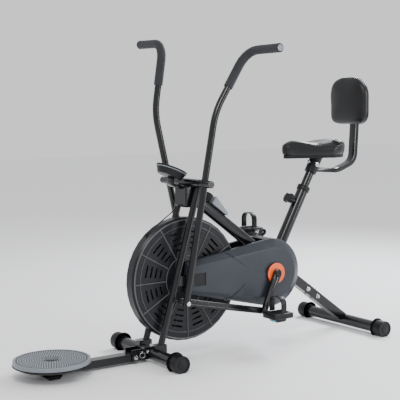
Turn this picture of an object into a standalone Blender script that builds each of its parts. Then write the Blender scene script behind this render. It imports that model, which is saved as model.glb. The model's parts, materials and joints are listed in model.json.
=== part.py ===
"""Air bike: a fan-braked exercise cycle with swinging handlebars and a fold-up waist twister.

X runs rearward, Y to the rider's right and Z up, in metres. Side-view places are (X, Z) pairs
measured from the front stabilizer's axis on the floor; the datum empty carries them to the
origin, which is the middle of the footprint on the floor. A side of -1 is the rider's left.
"""
import math

import bmesh
import bpy
from mathutils import Matrix, Vector

# ---- frame -----------------------------------------------------------------------------------
DATUM_X = -0.274
WHEELBASE = 1.040
FRONT_FOOT_LENGTH = 0.520
REAR_FOOT_LENGTH = 0.565
FOOT_TUBE_R = 0.025
FOOT_TUBE_WALL = 0.002
FOOT_CAP_R = 0.035
FOOT_CAP_LENGTH = 0.052
FOOT_CAP_WALL = 0.007
FOOT_CAP_FLAT = 0.002
GAP = 0.0003
RUNNING_ROOM = 0.001
CUT_REACH = 0.2
FOOT_CAP_EDGE = 0.004
FOOT_Z = FOOT_CAP_R - FOOT_CAP_FLAT
FORK_FOOT = (0.0245, 0.066)
FORK_TOP = (0.2180, 0.7020)
FORK_Y = 0.059
FORK_LEG_R = 0.014
SADDLE_BLOCK = (0.058, 0.040, 0.040)
FRAME_TUBE_R = 0.025
FRAME_TUBE_WALL = 0.002
HEAD_FRONT_X = 0.165
HEAD_REAR_X = 0.250
HEAD_BASE_Z = 0.612
HEAD_TOP_Z = 0.703
HEAD_EDGE = 0.006
TOP_TUBE_START = (0.235, 0.6441)
TOP_TUBE_SLOPE = math.radians(-37.3)
TOP_TUBE_LENGTH = 0.505
SEAT_ANGLE = math.radians(29.3)
SEAT_TUBE_FOOT = (0.6196, 0.306)
SEAT_TUBE_LENGTH = 0.405
COLLAR_LENGTH = 0.022
COLLAR_WALL = 0.0035
REAR_LEG_SIZE = 0.040
REAR_LEG_WALL = 0.002
REAR_LEG_INSET = 0.006
REAR_LEG_START = (0.650, 0.3268)
REAR_LEG_FOOT_RISE = 0.00543
REAR_LEG_DROP = REAR_LEG_START[1] - FOOT_Z - REAR_LEG_FOOT_RISE
REAR_LEG_SLOPE = -math.atan2(REAR_LEG_DROP, WHEELBASE - REAR_LEG_START[0])

# ---- cranks, fan and covers ------------------------------------------------------------------
CRANK_AXIS = (0.585, 0.306)
CRANK_LENGTH = 0.170
CRANK_LEAN = math.radians(25.4)
SHELL_R = 0.022
SHELL_HALF = 0.035
SPINDLE_R = 0.008
SPINDLE_ROOM = 0.004
DRIVE_PULLEY_R = 0.085
FAN_PULLEY_R = 0.017
PULLEY_FACE_Y = 0.0385
PULLEY_WIDTH = 0.0095
PULLEY_RIM = 0.007
PULLEY_WEB = 0.003
PULLEY_HUB_WALL = 0.006
BELT_THICK = 0.002
BELT_WIDTH = 0.008
BELT_ROOM = 0.0008
CRANK_DISC_R = 0.044
CRANK_DISC_THICK = 0.006
CRANK_DISC_EDGE = 0.003
ARM_INNER_Y = 0.097
ARM_THICK = 0.011
ARM_BOSS_R = 0.019
ARM_TIP_R = 0.0135
PEDAL_AXLE_R = 0.007
PEDAL_INNER_Y = 0.156
PEDAL_WIDTH = 0.084
PEDAL_LENGTH = 0.100
PEDAL_HEIGHT = 0.024
PEDAL_CORNER_R = 0.016
PEDAL_EDGE = 0.003
PEDAL_AXLE_INSET = 0.006
PEDAL_AXLE_END_ROOM = 0.002
STRAP_RISE = 0.066
STRAP_WIDTH = 0.028
STRAP_THICK = 0.0025
STRAP_CORNER_R = 0.030
FAN_AXIS = (0.172, 0.317)
FAN_AXLE_R = 0.006
FAN_AXLE_HALF = 0.066
DRUM_R = 0.255
FAN_TIP_ROOM = 0.021
FAN_R = DRUM_R - FAN_TIP_ROOM
FAN_HALF_WIDTH = 0.018
FAN_BLADES = 12
FAN_HUB_R = 0.012
BLADE_THICK = 0.005
BLADE_ROOT_R = 0.050
FAN_HUB_ROOM = 0.0015
DRUM_FACE_STEP = 0.011
DRUM_FACE_R = DRUM_R - DRUM_FACE_STEP
DRUM_FACE_Y = 0.030
DRUM_HUB_Y = 0.035
DRUM_WALL = 0.003
DRUM_BOSS_R = 0.045
DRUM_BOSS_FOOT_R = 0.060
DRUM_LIP = 0.009
DRUM_SECTORS = 12
DRUM_STEPS = 36
SLOTS_IN_SECTOR = 4
SLOT_START_R = 0.128
SLOT_PITCH = 0.0225
SLOT_WIDTH = 0.0075
SLOT_ANGLE = math.radians(15.0)
SLOT_DEPTH = 0.020
DROPOUT_Y = 0.0545
DROPOUT_THICK = 0.005
DROPOUT_R = 0.020
COVER_REAR_R = 0.146
COVER_FRONT_X = 0.150
COVER_FRONT_TOP_Z = 0.390
COVER_FRONT_BASE_Z = 0.262
COVER_OUTER_Y = 0.085
COVER_INNER_Y = 0.040
COVER_WALL = 0.003
COVER_BEVEL = 0.010
DROPOUT_ROOM = 0.003
SPINE_STEPS = 28
SPINE_TOP_ANGLE = math.radians(100.0)
SPINE_BASE_ANGLE = math.radians(-100.0)

# ---- handlebars and links --------------------------------------------------------------------
HANDLE_AXIS = (0.196, 0.712)
HANDLE_Y = 0.135
HANDLE_TUBE_R = 0.014
HANDLE_LOWER = 0.492
HANDLE_BEND_UP = 0.292
HANDLE_BEND_ANGLE = math.radians(21.6)
HANDLE_UPPER = 0.289
GRIP_LEG = 0.208
GRIP_SWEEP = 0.010
GRIP_RISE = 0.004
LOWER_BEND_R = 0.300
UPPER_BEND_R = 0.070
GRIP_R = 0.0185
GRIP_START = 0.115
GRIP_ROOM = 0.0005
GRIP_END_SETBACK = 0.004
SHAFT_R = 0.010
CROSS_TUBE_R = 0.017
CROSS_TUBE_HALF = 0.108
BUSH_R = 0.015
BUSH_END_Y = 0.183
SHAFT_INSET = 0.004
SHAFT_END_ROOM = 0.0005
LINK_PIN_DROP = 0.480
LINK_LENGTH = 0.4195
LINK_Y = 0.0905
LINK_THICK = 0.006
LINK_HALF_HEIGHT = 0.014
LINK_BOLT_R = 0.005
LINK_COLLAR_R = 0.008
LINK_HEAD_R = 0.009
LINK_HEAD_THICK = 0.0045
PIVOT_CLEARANCE = 0.001

# ---- seat, back rest, console and tension control --------------------------------------------
POST_R = 0.019
POST_LENGTH = 0.340
POST_TOP = 0.5045
CLAMP_R = 0.027
CLAMP_START = 0.474
CLAMP_END = 0.558
SADDLE_NOSE_X = 0.702
SADDLE_LENGTH = 0.315
SADDLE_HALF_WIDTH = 0.120
SADDLE_NOSE_R = 0.030
SADDLE_BASE_Z = 0.787
PAN_THICK = 0.014
PAD_THICK = 0.066
PAD_EDGE = 0.018
PAN_INSET = 0.006
HEIGHT_KNOB_STATION = 0.324
HEIGHT_KNOB_R = 0.026
HEIGHT_KNOB_THICK = 0.026
HEIGHT_KNOB_NECK_R = 0.014
HEIGHT_PIN_R = 0.005
HEIGHT_BOSS_R = 0.011
HEIGHT_BOSS_REACH = 0.012
BACK_BAR_HALF = 0.010
BACK_BAR_WIDTH = 0.040
BACK_PAD_WIDTH = 0.236
BACK_PAD_HEIGHT = 0.212
BACK_PAD_THICK = 0.055
BACK_PAD_BASE_Z = 0.930
BACK_BAR_FACE_X = 1.106
BACK_BAR_OVERLAP = 0.130
BACK_BAR_LOW = (1.000, 0.722)
BACK_BAR_HEEL_Z = 0.760
BACK_BAR_LEAN = 0.012
BACK_BAR_SETBACK = 0.016
BACK_BAR_BENDS = (0.100, 0.055, 0.200)
BACK_PAD_FOOT_R = 0.045
BACK_PAD_TOP_R = 0.085
BACK_PAD_EDGE = 0.016
CONSOLE_CENTRE = (0.120, 0.757)
CONSOLE_R = 0.067
CONSOLE_THICK = 0.034
CONSOLE_TILT = math.radians(24.0)
STALK_X = 0.012
STALK_DROP = 0.028
STALK_HALF_THICK = 0.007
STALK_HALF_WIDTH = 0.018
STALK_CORNER_R = 0.014
TENSION_STATION = 0.075
TENSION_LENGTH = 0.095
TENSION_WIDTH = 0.042
TENSION_HIGH = 0.036
TENSION_LOW = 0.012
TENSION_KNOB_R = 0.017
TENSION_KNOB_HEIGHT = 0.030
TENSION_KNOB_BACK = 0.022
TENSION_KNOB_LIFT = 0.002
CABLE_R = 0.0025
CABLE_BEND = (0.1230, 0.592)
CABLE_LAY = math.radians(11.0)

# ---- waist twister ---------------------------------------------------------------------------
TWISTER_REACH = 0.426
TWISTER_R = 0.148
TWISTER_BASE_R = 0.152
TWISTER_TOP_Z = 0.071
TWISTER_DISC_THICK = 0.016
TWISTER_BASE_THICK = 0.011
TWISTER_ARM_WIDTH = 0.050
TWISTER_ARM_HEIGHT = 0.031
TWISTER_ARM_BASE_Z = 0.0105
TWISTER_ARM_WALL = 0.0025
TWISTER_HINGE = (-0.075, 0.026)
TWISTER_BOLT_R = 0.005
TWISTER_FOOT_HALF = 0.022
TWISTER_FOOT_WIDTH = 0.090
BRACKET_WALL = 0.004
BRACKET_BASE_Z = 0.012
BRACKET_TOP_Z = 0.058
BRACKET_FRONT_REACH = 0.016
BRACKET_SLOT_REACH = 0.036
BRACKET_REAR_X = -0.010
BOLT_HEAD_R = 0.009
BOLT_HEAD_THICK = 0.004

MATERIALS = {
    "black_enamel": ((0.020, 0.021, 0.023), 0.32, 0.6),
    "black_plastic": ((0.018, 0.018, 0.020), 0.50, 0.0),
    "slate_plastic": ((0.075, 0.085, 0.100), 0.45, 0.0),
    "grey_plastic": ((0.420, 0.440, 0.470), 0.40, 0.0),
    "orange_plastic": ((0.900, 0.160, 0.020), 0.40, 0.0),
    "steel": ((0.600, 0.600, 0.620), 0.28, 1.0),
    "foam": ((0.030, 0.031, 0.034), 0.85, 0.0),
    "vinyl": ((0.015, 0.015, 0.016), 0.30, 0.0),
    "belt_rubber": ((0.020, 0.020, 0.020), 0.70, 0.0),
}


# ---- modelling helpers -----------------------------------------------------------------------
def clear_scene():
    for obj in list(bpy.data.objects):
        bpy.data.objects.remove(obj, do_unlink=True)


def parts_collection():
    collection = bpy.data.collections.new("air_bike")
    bpy.context.scene.collection.children.link(collection)
    return collection


def make_material(name):
    colour, roughness, metallic = MATERIALS[name]
    material = bpy.data.materials.new(name)
    material.use_nodes = True
    shader = material.node_tree.nodes["Principled BSDF"]
    shader.inputs["Base Color"].default_value = (*colour, 1.0)
    shader.inputs["Roughness"].default_value = roughness
    shader.inputs["Metallic"].default_value = metallic
    material.diffuse_color = (*colour, 1.0)
    return material


def link_data(data):
    obj = bpy.data.objects.new("shape", data)
    PARTS.objects.link(obj)
    return obj


def baked(obj):
    """Replace an object by its evaluated mesh, welded and facing out."""
    bpy.context.view_layer.update()
    graph = bpy.context.evaluated_depsgraph_get()
    mesh = bpy.data.meshes.new_from_object(obj.evaluated_get(graph))
    mesh.transform(obj.matrix_world)
    shape = bmesh.new()
    shape.from_mesh(mesh)
    bmesh.ops.remove_doubles(shape, verts=shape.verts, dist=0.00001)
    bmesh.ops.recalc_face_normals(shape, faces=shape.faces)
    shape.to_mesh(mesh)
    shape.free()
    bpy.data.objects.remove(obj, do_unlink=True)
    return link_data(mesh)


def moved(obj, matrix):
    obj.data.transform(matrix)
    return obj


def along(start, end):
    """The matrix that takes local Z at the origin to the line from start to end."""
    start, end = Vector(start), Vector(end)
    turn = Vector((0, 0, 1)).rotation_difference(end - start).to_matrix().to_4x4()
    return Matrix.Translation(start) @ turn


def side_point(place, y=0.0):
    return Vector((place[0], y, place[1]))


def rod(start, end, radius, sides=24):
    length = (Vector(end) - Vector(start)).length
    mesh = bpy.data.meshes.new("rod")
    shape = bmesh.new()
    bmesh.ops.create_cone(shape, cap_ends=True, segments=sides, radius1=radius, radius2=radius,
                          depth=length, matrix=Matrix.Translation((0, 0, length / 2)))
    shape.to_mesh(mesh)
    shape.free()
    return moved(link_data(mesh), along(start, end))


def cross_rod(place, inner_y, outer_y, radius, sides=24):
    return rod(side_point(place, inner_y), side_point(place, outer_y), radius, sides)


def box(low, high):
    low, high = Vector(low), Vector(high)
    size = high - low
    mesh = bpy.data.meshes.new("box")
    shape = bmesh.new()
    matrix = Matrix.Translation((low + high) / 2) @ Matrix.Diagonal((*size, 1.0))
    bmesh.ops.create_cube(shape, size=1.0, matrix=matrix)
    shape.to_mesh(mesh)
    shape.free()
    return link_data(mesh)


def turned(profile, start, end, steps=24, closed=False):
    """Turn (radius, height) points about the line that leaves start towards end."""
    mesh = bpy.data.meshes.new("profile")
    count = len(profile)
    edges = [(i, i + 1) for i in range(count - 1)]
    if closed:
        edges.append((count - 1, 0))
    mesh.from_pydata([(radius, 0.0, height) for radius, height in profile], edges, [])
    obj = link_data(mesh)
    screw = obj.modifiers.new("turn", "SCREW")
    screw.steps = steps
    screw.render_steps = steps
    screw.use_merge_vertices = True
    screw.merge_threshold = 0.00001
    return moved(baked(obj), along(start, end))


def hollow(start, end, outer, inner, steps=24):
    length = (Vector(end) - Vector(start)).length
    ring = [(outer, length), (outer, 0.0), (inner, 0.0), (inner, length)]
    return turned(ring, start, end, steps, closed=True)


def flat_shape(outlines, thickness):
    """Fill 2D outlines, the first the rim and the others holes, and thicken them about Z = 0."""
    curve = bpy.data.curves.new("outline", "CURVE")
    curve.dimensions = "2D"
    curve.fill_mode = "BOTH"
    curve.extrude = thickness / 2
    for outline in outlines:
        spline = curve.splines.new("POLY")
        spline.points.add(len(outline) - 1)
        for point, place in zip(spline.points, outline):
            point.co = (place[0], place[1], 0.0, 1.0)
        spline.use_cyclic_u = True
    return baked(link_data(curve))


def side_plate(outlines, y_from, y_to):
    """A plate whose outlines are (X, Z) points and which spans two values of Y."""
    plate = flat_shape(outlines, abs(y_to - y_from))
    upright = Matrix.Rotation(math.pi / 2, 4, "X")
    return moved(plate, Matrix.Translation((0, (y_from + y_to) / 2, 0)) @ upright)


def pipe(points, radius, resolution=4):
    """A round bar through 3D points; resolution 4 makes 12 sides."""
    curve = pipe_curve(points, radius, resolution)
    curve.use_fill_caps = True
    return baked(link_data(curve))


def pipe_curve(points, radius, resolution):
    curve = bpy.data.curves.new("path", "CURVE")
    curve.dimensions = "3D"
    curve.bevel_depth = radius
    curve.bevel_resolution = resolution
    spline = curve.splines.new("POLY")
    spline.points.add(len(points) - 1)
    for point, place in zip(spline.points, points):
        point.co = (*place, 1.0)
    return curve


def sleeve(points, outer, inner, resolution=4):
    """A hollow bar along 3D points, open at both ends."""
    surface = baked(link_data(pipe_curve(points, outer, resolution)))
    wall = surface.modifiers.new("wall", "SOLIDIFY")
    wall.thickness = outer - inner
    wall.offset = -1.0
    wall.use_even_offset = True
    return baked(surface)


def combined(obj, tool, operation):
    change = obj.modifiers.new(operation.lower(), "BOOLEAN")
    change.operation = operation
    change.solver = "EXACT"
    change.object = tool
    result = baked(obj)
    bpy.data.objects.remove(tool, do_unlink=True)
    return result


def cut(obj, tool):
    return combined(obj, tool, "DIFFERENCE")


def join(obj, tool):
    return combined(obj, tool, "UNION")


def bevelled(obj, width, segments=1, angle=math.radians(50)):
    edge = obj.modifiers.new("edge", "BEVEL")
    edge.width = width
    edge.segments = segments
    edge.limit_method = "ANGLE"
    edge.angle_limit = angle
    return baked(obj)


def mirrored(obj):
    """A copy on the other side of the machine's middle plane."""
    copy = link_data(obj.data.copy())
    copy.data.transform(Matrix.Diagonal((1, -1, 1, 1)))
    return baked(copy)


def on_side(obj, side):
    """Take a piece built on the right to the side asked for."""
    if side > 0:
        return obj
    copy = mirrored(obj)
    bpy.data.objects.remove(obj, do_unlink=True)
    return copy


def joint_axis(name, place, parent=None):
    """An empty at a machine place, which moving pieces hang on."""
    empty = bpy.data.objects.new(name, None)
    empty.empty_display_size = 0.04
    empty.parent = parent
    empty["place"] = tuple(place)
    base = Vector(parent["place"]) if parent else Vector((-DATUM_X, 0, 0))
    empty.location = Vector(place) - base
    PARTS.objects.link(empty)
    return empty


def finish(obj, name, material, axis):
    """Name a solid, give it its material and hang it on its axis with its origin there."""
    obj.name = name
    obj.data.name = name
    obj.data.transform(Matrix.Translation(-Vector(axis["place"])))
    obj.parent = axis
    obj.data.materials.clear()
    obj.data.materials.append(SURFACES[material])
    obj.data.shade_smooth()
    obj.data.set_sharp_from_angle(angle=math.radians(35))


# ---- outlines and paths ----------------------------------------------------------------------
def arc(centre, radius, start, end, steps):
    points = []
    for i in range(steps + 1):
        angle = start + (end - start) * i / steps
        points.append((centre[0] + radius * math.cos(angle), centre[1] + radius * math.sin(angle)))
    return points


def circle(centre, radius, steps=24):
    return arc(centre, radius, 0.0, 2 * math.pi, steps)[:-1]


def tapered_link(first, first_r, last, last_r, steps=10):
    """The outline of a link with a round end about each of two places."""
    dx, dz = last[0] - first[0], last[1] - first[1]
    heading = math.atan2(dz, dx)
    spread = math.acos((first_r - last_r) / math.hypot(dx, dz))
    tip = arc(last, last_r, heading - spread, heading + spread, steps)
    return tip + arc(first, first_r, heading + spread, heading + 2 * math.pi - spread, steps)


def bar_outline(path, half):
    """The two sides of a bar of even thickness along a side-view path."""
    left, right = [], []
    for i, point in enumerate(path):
        before, after = path[max(i - 1, 0)], path[min(i + 1, len(path) - 1)]
        dx, dz = after[0] - before[0], after[1] - before[1]
        scale = half / math.hypot(dx, dz)
        left.append((point[0] - dz * scale, point[1] + dx * scale))
        right.append((point[0] + dz * scale, point[1] - dx * scale))
    return left + right[::-1]


def rounded_path(corners, radii, steps=5):
    """Straight runs through the corners with an arc of the given radius at each inner one."""
    points = [Vector(corners[0])]
    for i, radius in enumerate(radii, start=1):
        corner = Vector(corners[i])
        back = (Vector(corners[i - 1]) - corner).normalized()
        ahead = (Vector(corners[i + 1]) - corner).normalized()
        half_turn = (math.pi - back.angle(ahead)) / 2
        reach = radius * math.tan(half_turn)
        centre = corner + (back + ahead).normalized() * (radius / math.cos(half_turn))
        start = corner + back * reach - centre
        normal = start.cross(corner + ahead * reach - centre)
        for k in range(steps + 1):
            points.append(centre + Matrix.Rotation(2 * half_turn * k / steps, 3, normal) @ start)
    points.append(Vector(corners[-1]))
    return points


def along_slope(start, slope, distance):
    return (start[0] + distance * math.cos(slope), start[1] + distance * math.sin(slope))


def seat_line(station, offset=0.0):
    """A side-view place at a station up the seat tube, offset to its front."""
    x = SEAT_TUBE_FOOT[0] + station * math.sin(SEAT_ANGLE) - offset * math.cos(SEAT_ANGLE)
    z = SEAT_TUBE_FOOT[1] + station * math.cos(SEAT_ANGLE) + offset * math.sin(SEAT_ANGLE)
    return (x, z)


def crank_pin(side):
    """The pedal axle's place: the left crank hangs down and forward, the right one opposes it."""
    reach = CRANK_LENGTH * side
    return (CRANK_AXIS[0] + reach * math.sin(CRANK_LEAN), CRANK_AXIS[1] + reach * math.cos(CRANK_LEAN))


def handle_lean(side):
    """How far a handlebar tips rearward when its link closes on the pedal axle."""
    pin = crank_pin(side)
    dx, dz = pin[0] - HANDLE_AXIS[0], pin[1] - HANDLE_AXIS[1]
    span = math.hypot(dx, dz)
    inner = (LINK_PIN_DROP ** 2 + span ** 2 - LINK_LENGTH ** 2) / (2 * LINK_PIN_DROP * span)
    arm = math.atan2(dz, dx) - math.acos(inner)
    return -math.pi / 2 - arm


def link_pin(side):
    lean = handle_lean(side)
    return (HANDLE_AXIS[0] - LINK_PIN_DROP * math.sin(lean), HANDLE_AXIS[1] - LINK_PIN_DROP * math.cos(lean))


def cover_outline(inset):
    """The chain cover's side view: a front edge and a rear round about the crank."""
    radius = COVER_REAR_R - inset
    front_top = (COVER_FRONT_X + inset, COVER_FRONT_TOP_Z - inset)
    front_base = (COVER_FRONT_X + inset, COVER_FRONT_BASE_Z + inset)
    top_angle = tangent_angle(front_top, radius, 1)
    base_angle = tangent_angle(front_base, radius, -1)
    return [front_top, front_base] + arc(CRANK_AXIS, radius, base_angle, top_angle, 20)


def tangent_angle(place, radius, side):
    """Where the line from a place touches the round about the crank, above or below."""
    dx, dz = place[0] - CRANK_AXIS[0], place[1] - CRANK_AXIS[1]
    towards = math.atan2(dz, dx) % (2 * math.pi)
    angle = towards - side * math.acos(radius / math.hypot(dx, dz))
    return angle if side > 0 else angle - 2 * math.pi


def saddle_outline(inset=0.0):
    """A saddle seen from above: a round nose that widens to a broad round rear."""
    rear_r = SADDLE_HALF_WIDTH - inset
    nose_r = SADDLE_NOSE_R - inset
    rear_x = SADDLE_NOSE_X + SADDLE_LENGTH - SADDLE_HALF_WIDTH
    nose_x = SADDLE_NOSE_X + SADDLE_NOSE_R
    waist_x = nose_x + (rear_x - nose_x) * 0.45
    waist = nose_r + (rear_r - nose_r) * 0.40
    rear = arc((rear_x, 0.0), rear_r, -math.pi / 2, math.pi / 2, 10)
    nose = arc((nose_x, 0.0), nose_r, math.pi / 2, 3 * math.pi / 2, 6)
    return rear + [(waist_x, waist)] + nose + [(waist_x, -waist)]


# ---- feet ------------------------------------------------------------------------------------
def build_foot(name, x, length, axis):
    """One stabilizer: a tube and two end caps, which stand on flats."""
    inner_end = length / 2 - FOOT_CAP_WALL - GAP
    inner_r = FOOT_TUBE_R - FOOT_TUBE_WALL
    tube = hollow((x, -inner_end, FOOT_Z), (x, inner_end, FOOT_Z), FOOT_TUBE_R, inner_r)
    finish(tube, name + "_tube", "black_enamel", axis)
    for side, word in SIDES:
        finish(on_side(foot_cap(x, length), side), name + "_cap_" + word, "black_plastic", axis)


def foot_cap(x, length):
    bore = FOOT_TUBE_R + GAP
    depth = FOOT_CAP_LENGTH - FOOT_CAP_WALL
    profile = [(0.0, FOOT_CAP_LENGTH), (FOOT_CAP_R - FOOT_CAP_EDGE, FOOT_CAP_LENGTH),
               (FOOT_CAP_R, FOOT_CAP_LENGTH - FOOT_CAP_EDGE), (FOOT_CAP_R, 0.0),
               (bore, 0.0), (bore, depth), (0.0, depth)]
    start_y = length / 2 - FOOT_CAP_LENGTH
    cap = turned(profile, (x, start_y, FOOT_Z), (x, length / 2, FOOT_Z))
    floor = box((x - CUT_REACH, 0.0, -CUT_REACH), (x + CUT_REACH, length, 0.0))
    return cut(cap, floor)


# ---- frame -----------------------------------------------------------------------------------
def fork_leg():
    leg = rod(side_point(FORK_FOOT, FORK_Y), side_point(FORK_TOP, FORK_Y), FORK_LEG_R, 16)
    size_x, size_y, size_z = SADDLE_BLOCK
    centre_x = FORK_FOOT[0] / 2
    low = (centre_x - size_x / 2, FORK_Y - size_y / 2, FOOT_Z)
    high = (centre_x + size_x / 2, FORK_Y + size_y / 2, FOOT_Z + size_z)
    leg = join(leg, box(low, high))
    share = (FAN_AXIS[1] - FORK_FOOT[1]) / (FORK_TOP[1] - FORK_FOOT[1])
    leg_x = FORK_FOOT[0] + share * (FORK_TOP[0] - FORK_FOOT[0])
    dropout = tapered_link((leg_x, FAN_AXIS[1]), DROPOUT_R, FAN_AXIS, DROPOUT_R)
    inner_y = DROPOUT_Y - DROPOUT_THICK / 2
    leg = join(leg, side_plate([dropout], inner_y, inner_y + DROPOUT_THICK))
    leg = cut(leg, cross_rod(FAN_AXIS, 0.0, CUT_REACH, FAN_AXLE_R + GAP, 16))
    leg = cut(leg, cross_rod((0.0, FOOT_Z), 0.0, CUT_REACH, FOOT_TUBE_R + GAP))
    return cut(leg, cross_rod(HANDLE_AXIS, 0.0, CUT_REACH, CROSS_TUBE_R + GAP))


def build_frame(axis):
    for side, word in SIDES:
        finish(on_side(fork_leg(), side), "fork_leg_" + word, "black_enamel", axis)
    head_half = FORK_Y - FORK_LEG_R - GAP
    head = box((HEAD_FRONT_X, -head_half, HEAD_BASE_Z), (HEAD_REAR_X, head_half, HEAD_TOP_Z))
    head = bevelled(head, HEAD_EDGE)
    head = join(head, cross_rod(HANDLE_AXIS, -CROSS_TUBE_HALF, CROSS_TUBE_HALF, CROSS_TUBE_R))
    head = cut(head, cross_rod(HANDLE_AXIS, -CUT_REACH, CUT_REACH, SHAFT_R + GAP))
    finish(head, "head_bracket", "black_enamel", axis)
    shaft_half = BUSH_END_Y - SHAFT_INSET
    finish(cross_rod(HANDLE_AXIS, -shaft_half, shaft_half, SHAFT_R), "pivot_shaft", "steel", axis)

    shell = hollow(side_point(CRANK_AXIS, -SHELL_HALF), side_point(CRANK_AXIS, SHELL_HALF),
                   SHELL_R, SPINDLE_R + GAP)
    finish(shell, "bottom_bracket_shell", "black_enamel", axis)
    finish(top_tube(), "top_tube", "black_enamel", axis)
    finish(seat_tube(), "seat_tube", "black_enamel", axis)
    collar = hollow(side_point(seat_line(SEAT_TUBE_LENGTH - COLLAR_LENGTH)),
                    side_point(seat_line(SEAT_TUBE_LENGTH)),
                    FRAME_TUBE_R + GAP + COLLAR_WALL, FRAME_TUBE_R + GAP)
    finish(collar, "seat_collar", "black_plastic", axis)
    finish(rear_leg(), "rear_leg", "black_enamel", axis)


def top_tube():
    end = along_slope(TOP_TUBE_START, TOP_TUBE_SLOPE, TOP_TUBE_LENGTH)
    inner_r = FRAME_TUBE_R - FRAME_TUBE_WALL
    tube = hollow(side_point(TOP_TUBE_START), side_point(end), FRAME_TUBE_R, inner_r)
    low = (HEAD_FRONT_X - CUT_REACH, -CUT_REACH, HEAD_BASE_Z - CUT_REACH)
    high = (HEAD_REAR_X + GAP, CUT_REACH, HEAD_TOP_Z + CUT_REACH)
    tube = cut(tube, box(low, high))
    return cut(tube, seat_tube_space(FRAME_TUBE_R + GAP))


def seat_tube_space(radius):
    return rod(side_point(seat_line(-CUT_REACH)), side_point(seat_line(SEAT_TUBE_LENGTH)), radius)


def seat_tube():
    tube = hollow(side_point(SEAT_TUBE_FOOT), side_point(seat_line(SEAT_TUBE_LENGTH)),
                  FRAME_TUBE_R, POST_R + GAP)
    wall_middle = (POST_R + FRAME_TUBE_R) / 2
    boss = rod(side_point(seat_line(HEIGHT_KNOB_STATION, wall_middle)),
               side_point(seat_line(HEIGHT_KNOB_STATION, FRAME_TUBE_R + HEIGHT_BOSS_REACH)),
               HEIGHT_BOSS_R, 16)
    tube = join(tube, boss)
    pin_way = rod(side_point(seat_line(HEIGHT_KNOB_STATION)),
                  side_point(seat_line(HEIGHT_KNOB_STATION, CUT_REACH)), HEIGHT_PIN_R + GAP, 12)
    tube = cut(tube, pin_way)
    return cut(tube, cross_rod(CRANK_AXIS, -CUT_REACH, CUT_REACH, SHELL_R + GAP))


def square_bar(start, slope, length, size):
    """A square bar along a slope in the side view."""
    half = size / 2
    bar = box((0.0, -half, -half), (length, half, half))
    turn = Matrix.Rotation(-slope, 4, "Y")
    return moved(bar, Matrix.Translation(side_point(start)) @ turn)


def rear_leg():
    run = (WHEELBASE - REAR_LEG_START[0]) / math.cos(REAR_LEG_SLOPE) - REAR_LEG_INSET
    leg = square_bar(REAR_LEG_START, REAR_LEG_SLOPE, run, REAR_LEG_SIZE)
    back = along_slope(REAR_LEG_START, REAR_LEG_SLOPE, -CUT_REACH)
    inside = REAR_LEG_SIZE - 2 * REAR_LEG_WALL
    leg = cut(leg, square_bar(back, REAR_LEG_SLOPE, run + 2 * CUT_REACH, inside))
    leg = cut(leg, cross_rod((WHEELBASE, FOOT_Z), -CUT_REACH, CUT_REACH, FOOT_TUBE_R + GAP))
    return cut(leg, seat_tube_space(FRAME_TUBE_R + GAP))


# ---- fan -------------------------------------------------------------------------------------
def build_fan(frame_axis, fan_axis):
    axle = cross_rod(FAN_AXIS, -FAN_AXLE_HALF, FAN_AXLE_HALF, FAN_AXLE_R, 16)
    finish(axle, "fan_axle", "steel", frame_axis)
    finish(fan_wheel(), "fan_wheel", "black_plastic", fan_axis)
    finish(pulley(FAN_AXIS, FAN_PULLEY_R, FAN_AXLE_R, 16), "fan_pulley", "steel", fan_axis)
    for side, word in SIDES:
        finish(on_side(fan_cover(), side), "fan_cover_" + word, "black_plastic", frame_axis)


def fan_wheel():
    """Flat radial blades on a hub that reaches the pulley."""
    outline = []
    half = BLADE_THICK / 2
    blade = ((BLADE_ROOT_R, -half), (FAN_R, -half), (FAN_R, half), (BLADE_ROOT_R, half))
    for i in range(FAN_BLADES):
        angle = 2 * math.pi * (i + 0.5) / FAN_BLADES
        for radius, offset in blade:
            x = FAN_AXIS[0] + radius * math.cos(angle) - offset * math.sin(angle)
            z = FAN_AXIS[1] + radius * math.sin(angle) + offset * math.cos(angle)
            outline.append((x, z))
    bore = FAN_AXLE_R + GAP
    wheel = side_plate([outline, circle(FAN_AXIS, bore, 16)], -FAN_HALF_WIDTH, FAN_HALF_WIDTH)
    hub = hollow(side_point(FAN_AXIS, GAP - PULLEY_FACE_Y), side_point(FAN_AXIS, 0.0), FAN_HUB_R, bore, 16)
    return join(wheel, hub)


def pulley(place, radius, axle_r, steps):
    """A flat belt pulley on the left of the drum, dished between rim and hub."""
    bore = axle_r + GAP
    hub_r = axle_r + PULLEY_HUB_WALL
    rim_r = radius - PULLEY_RIM
    profile = [(radius, PULLEY_WIDTH), (radius, 0.0), (bore, 0.0), (bore, PULLEY_WIDTH)]
    if rim_r > hub_r:
        profile += [(hub_r, PULLEY_WIDTH), (hub_r, PULLEY_WEB), (rim_r, PULLEY_WEB), (rim_r, PULLEY_WIDTH)]
    start, end = side_point(place, -PULLEY_FACE_Y), side_point(place, -1.0)
    return turned(profile, start, end, steps, closed=True)


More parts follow.
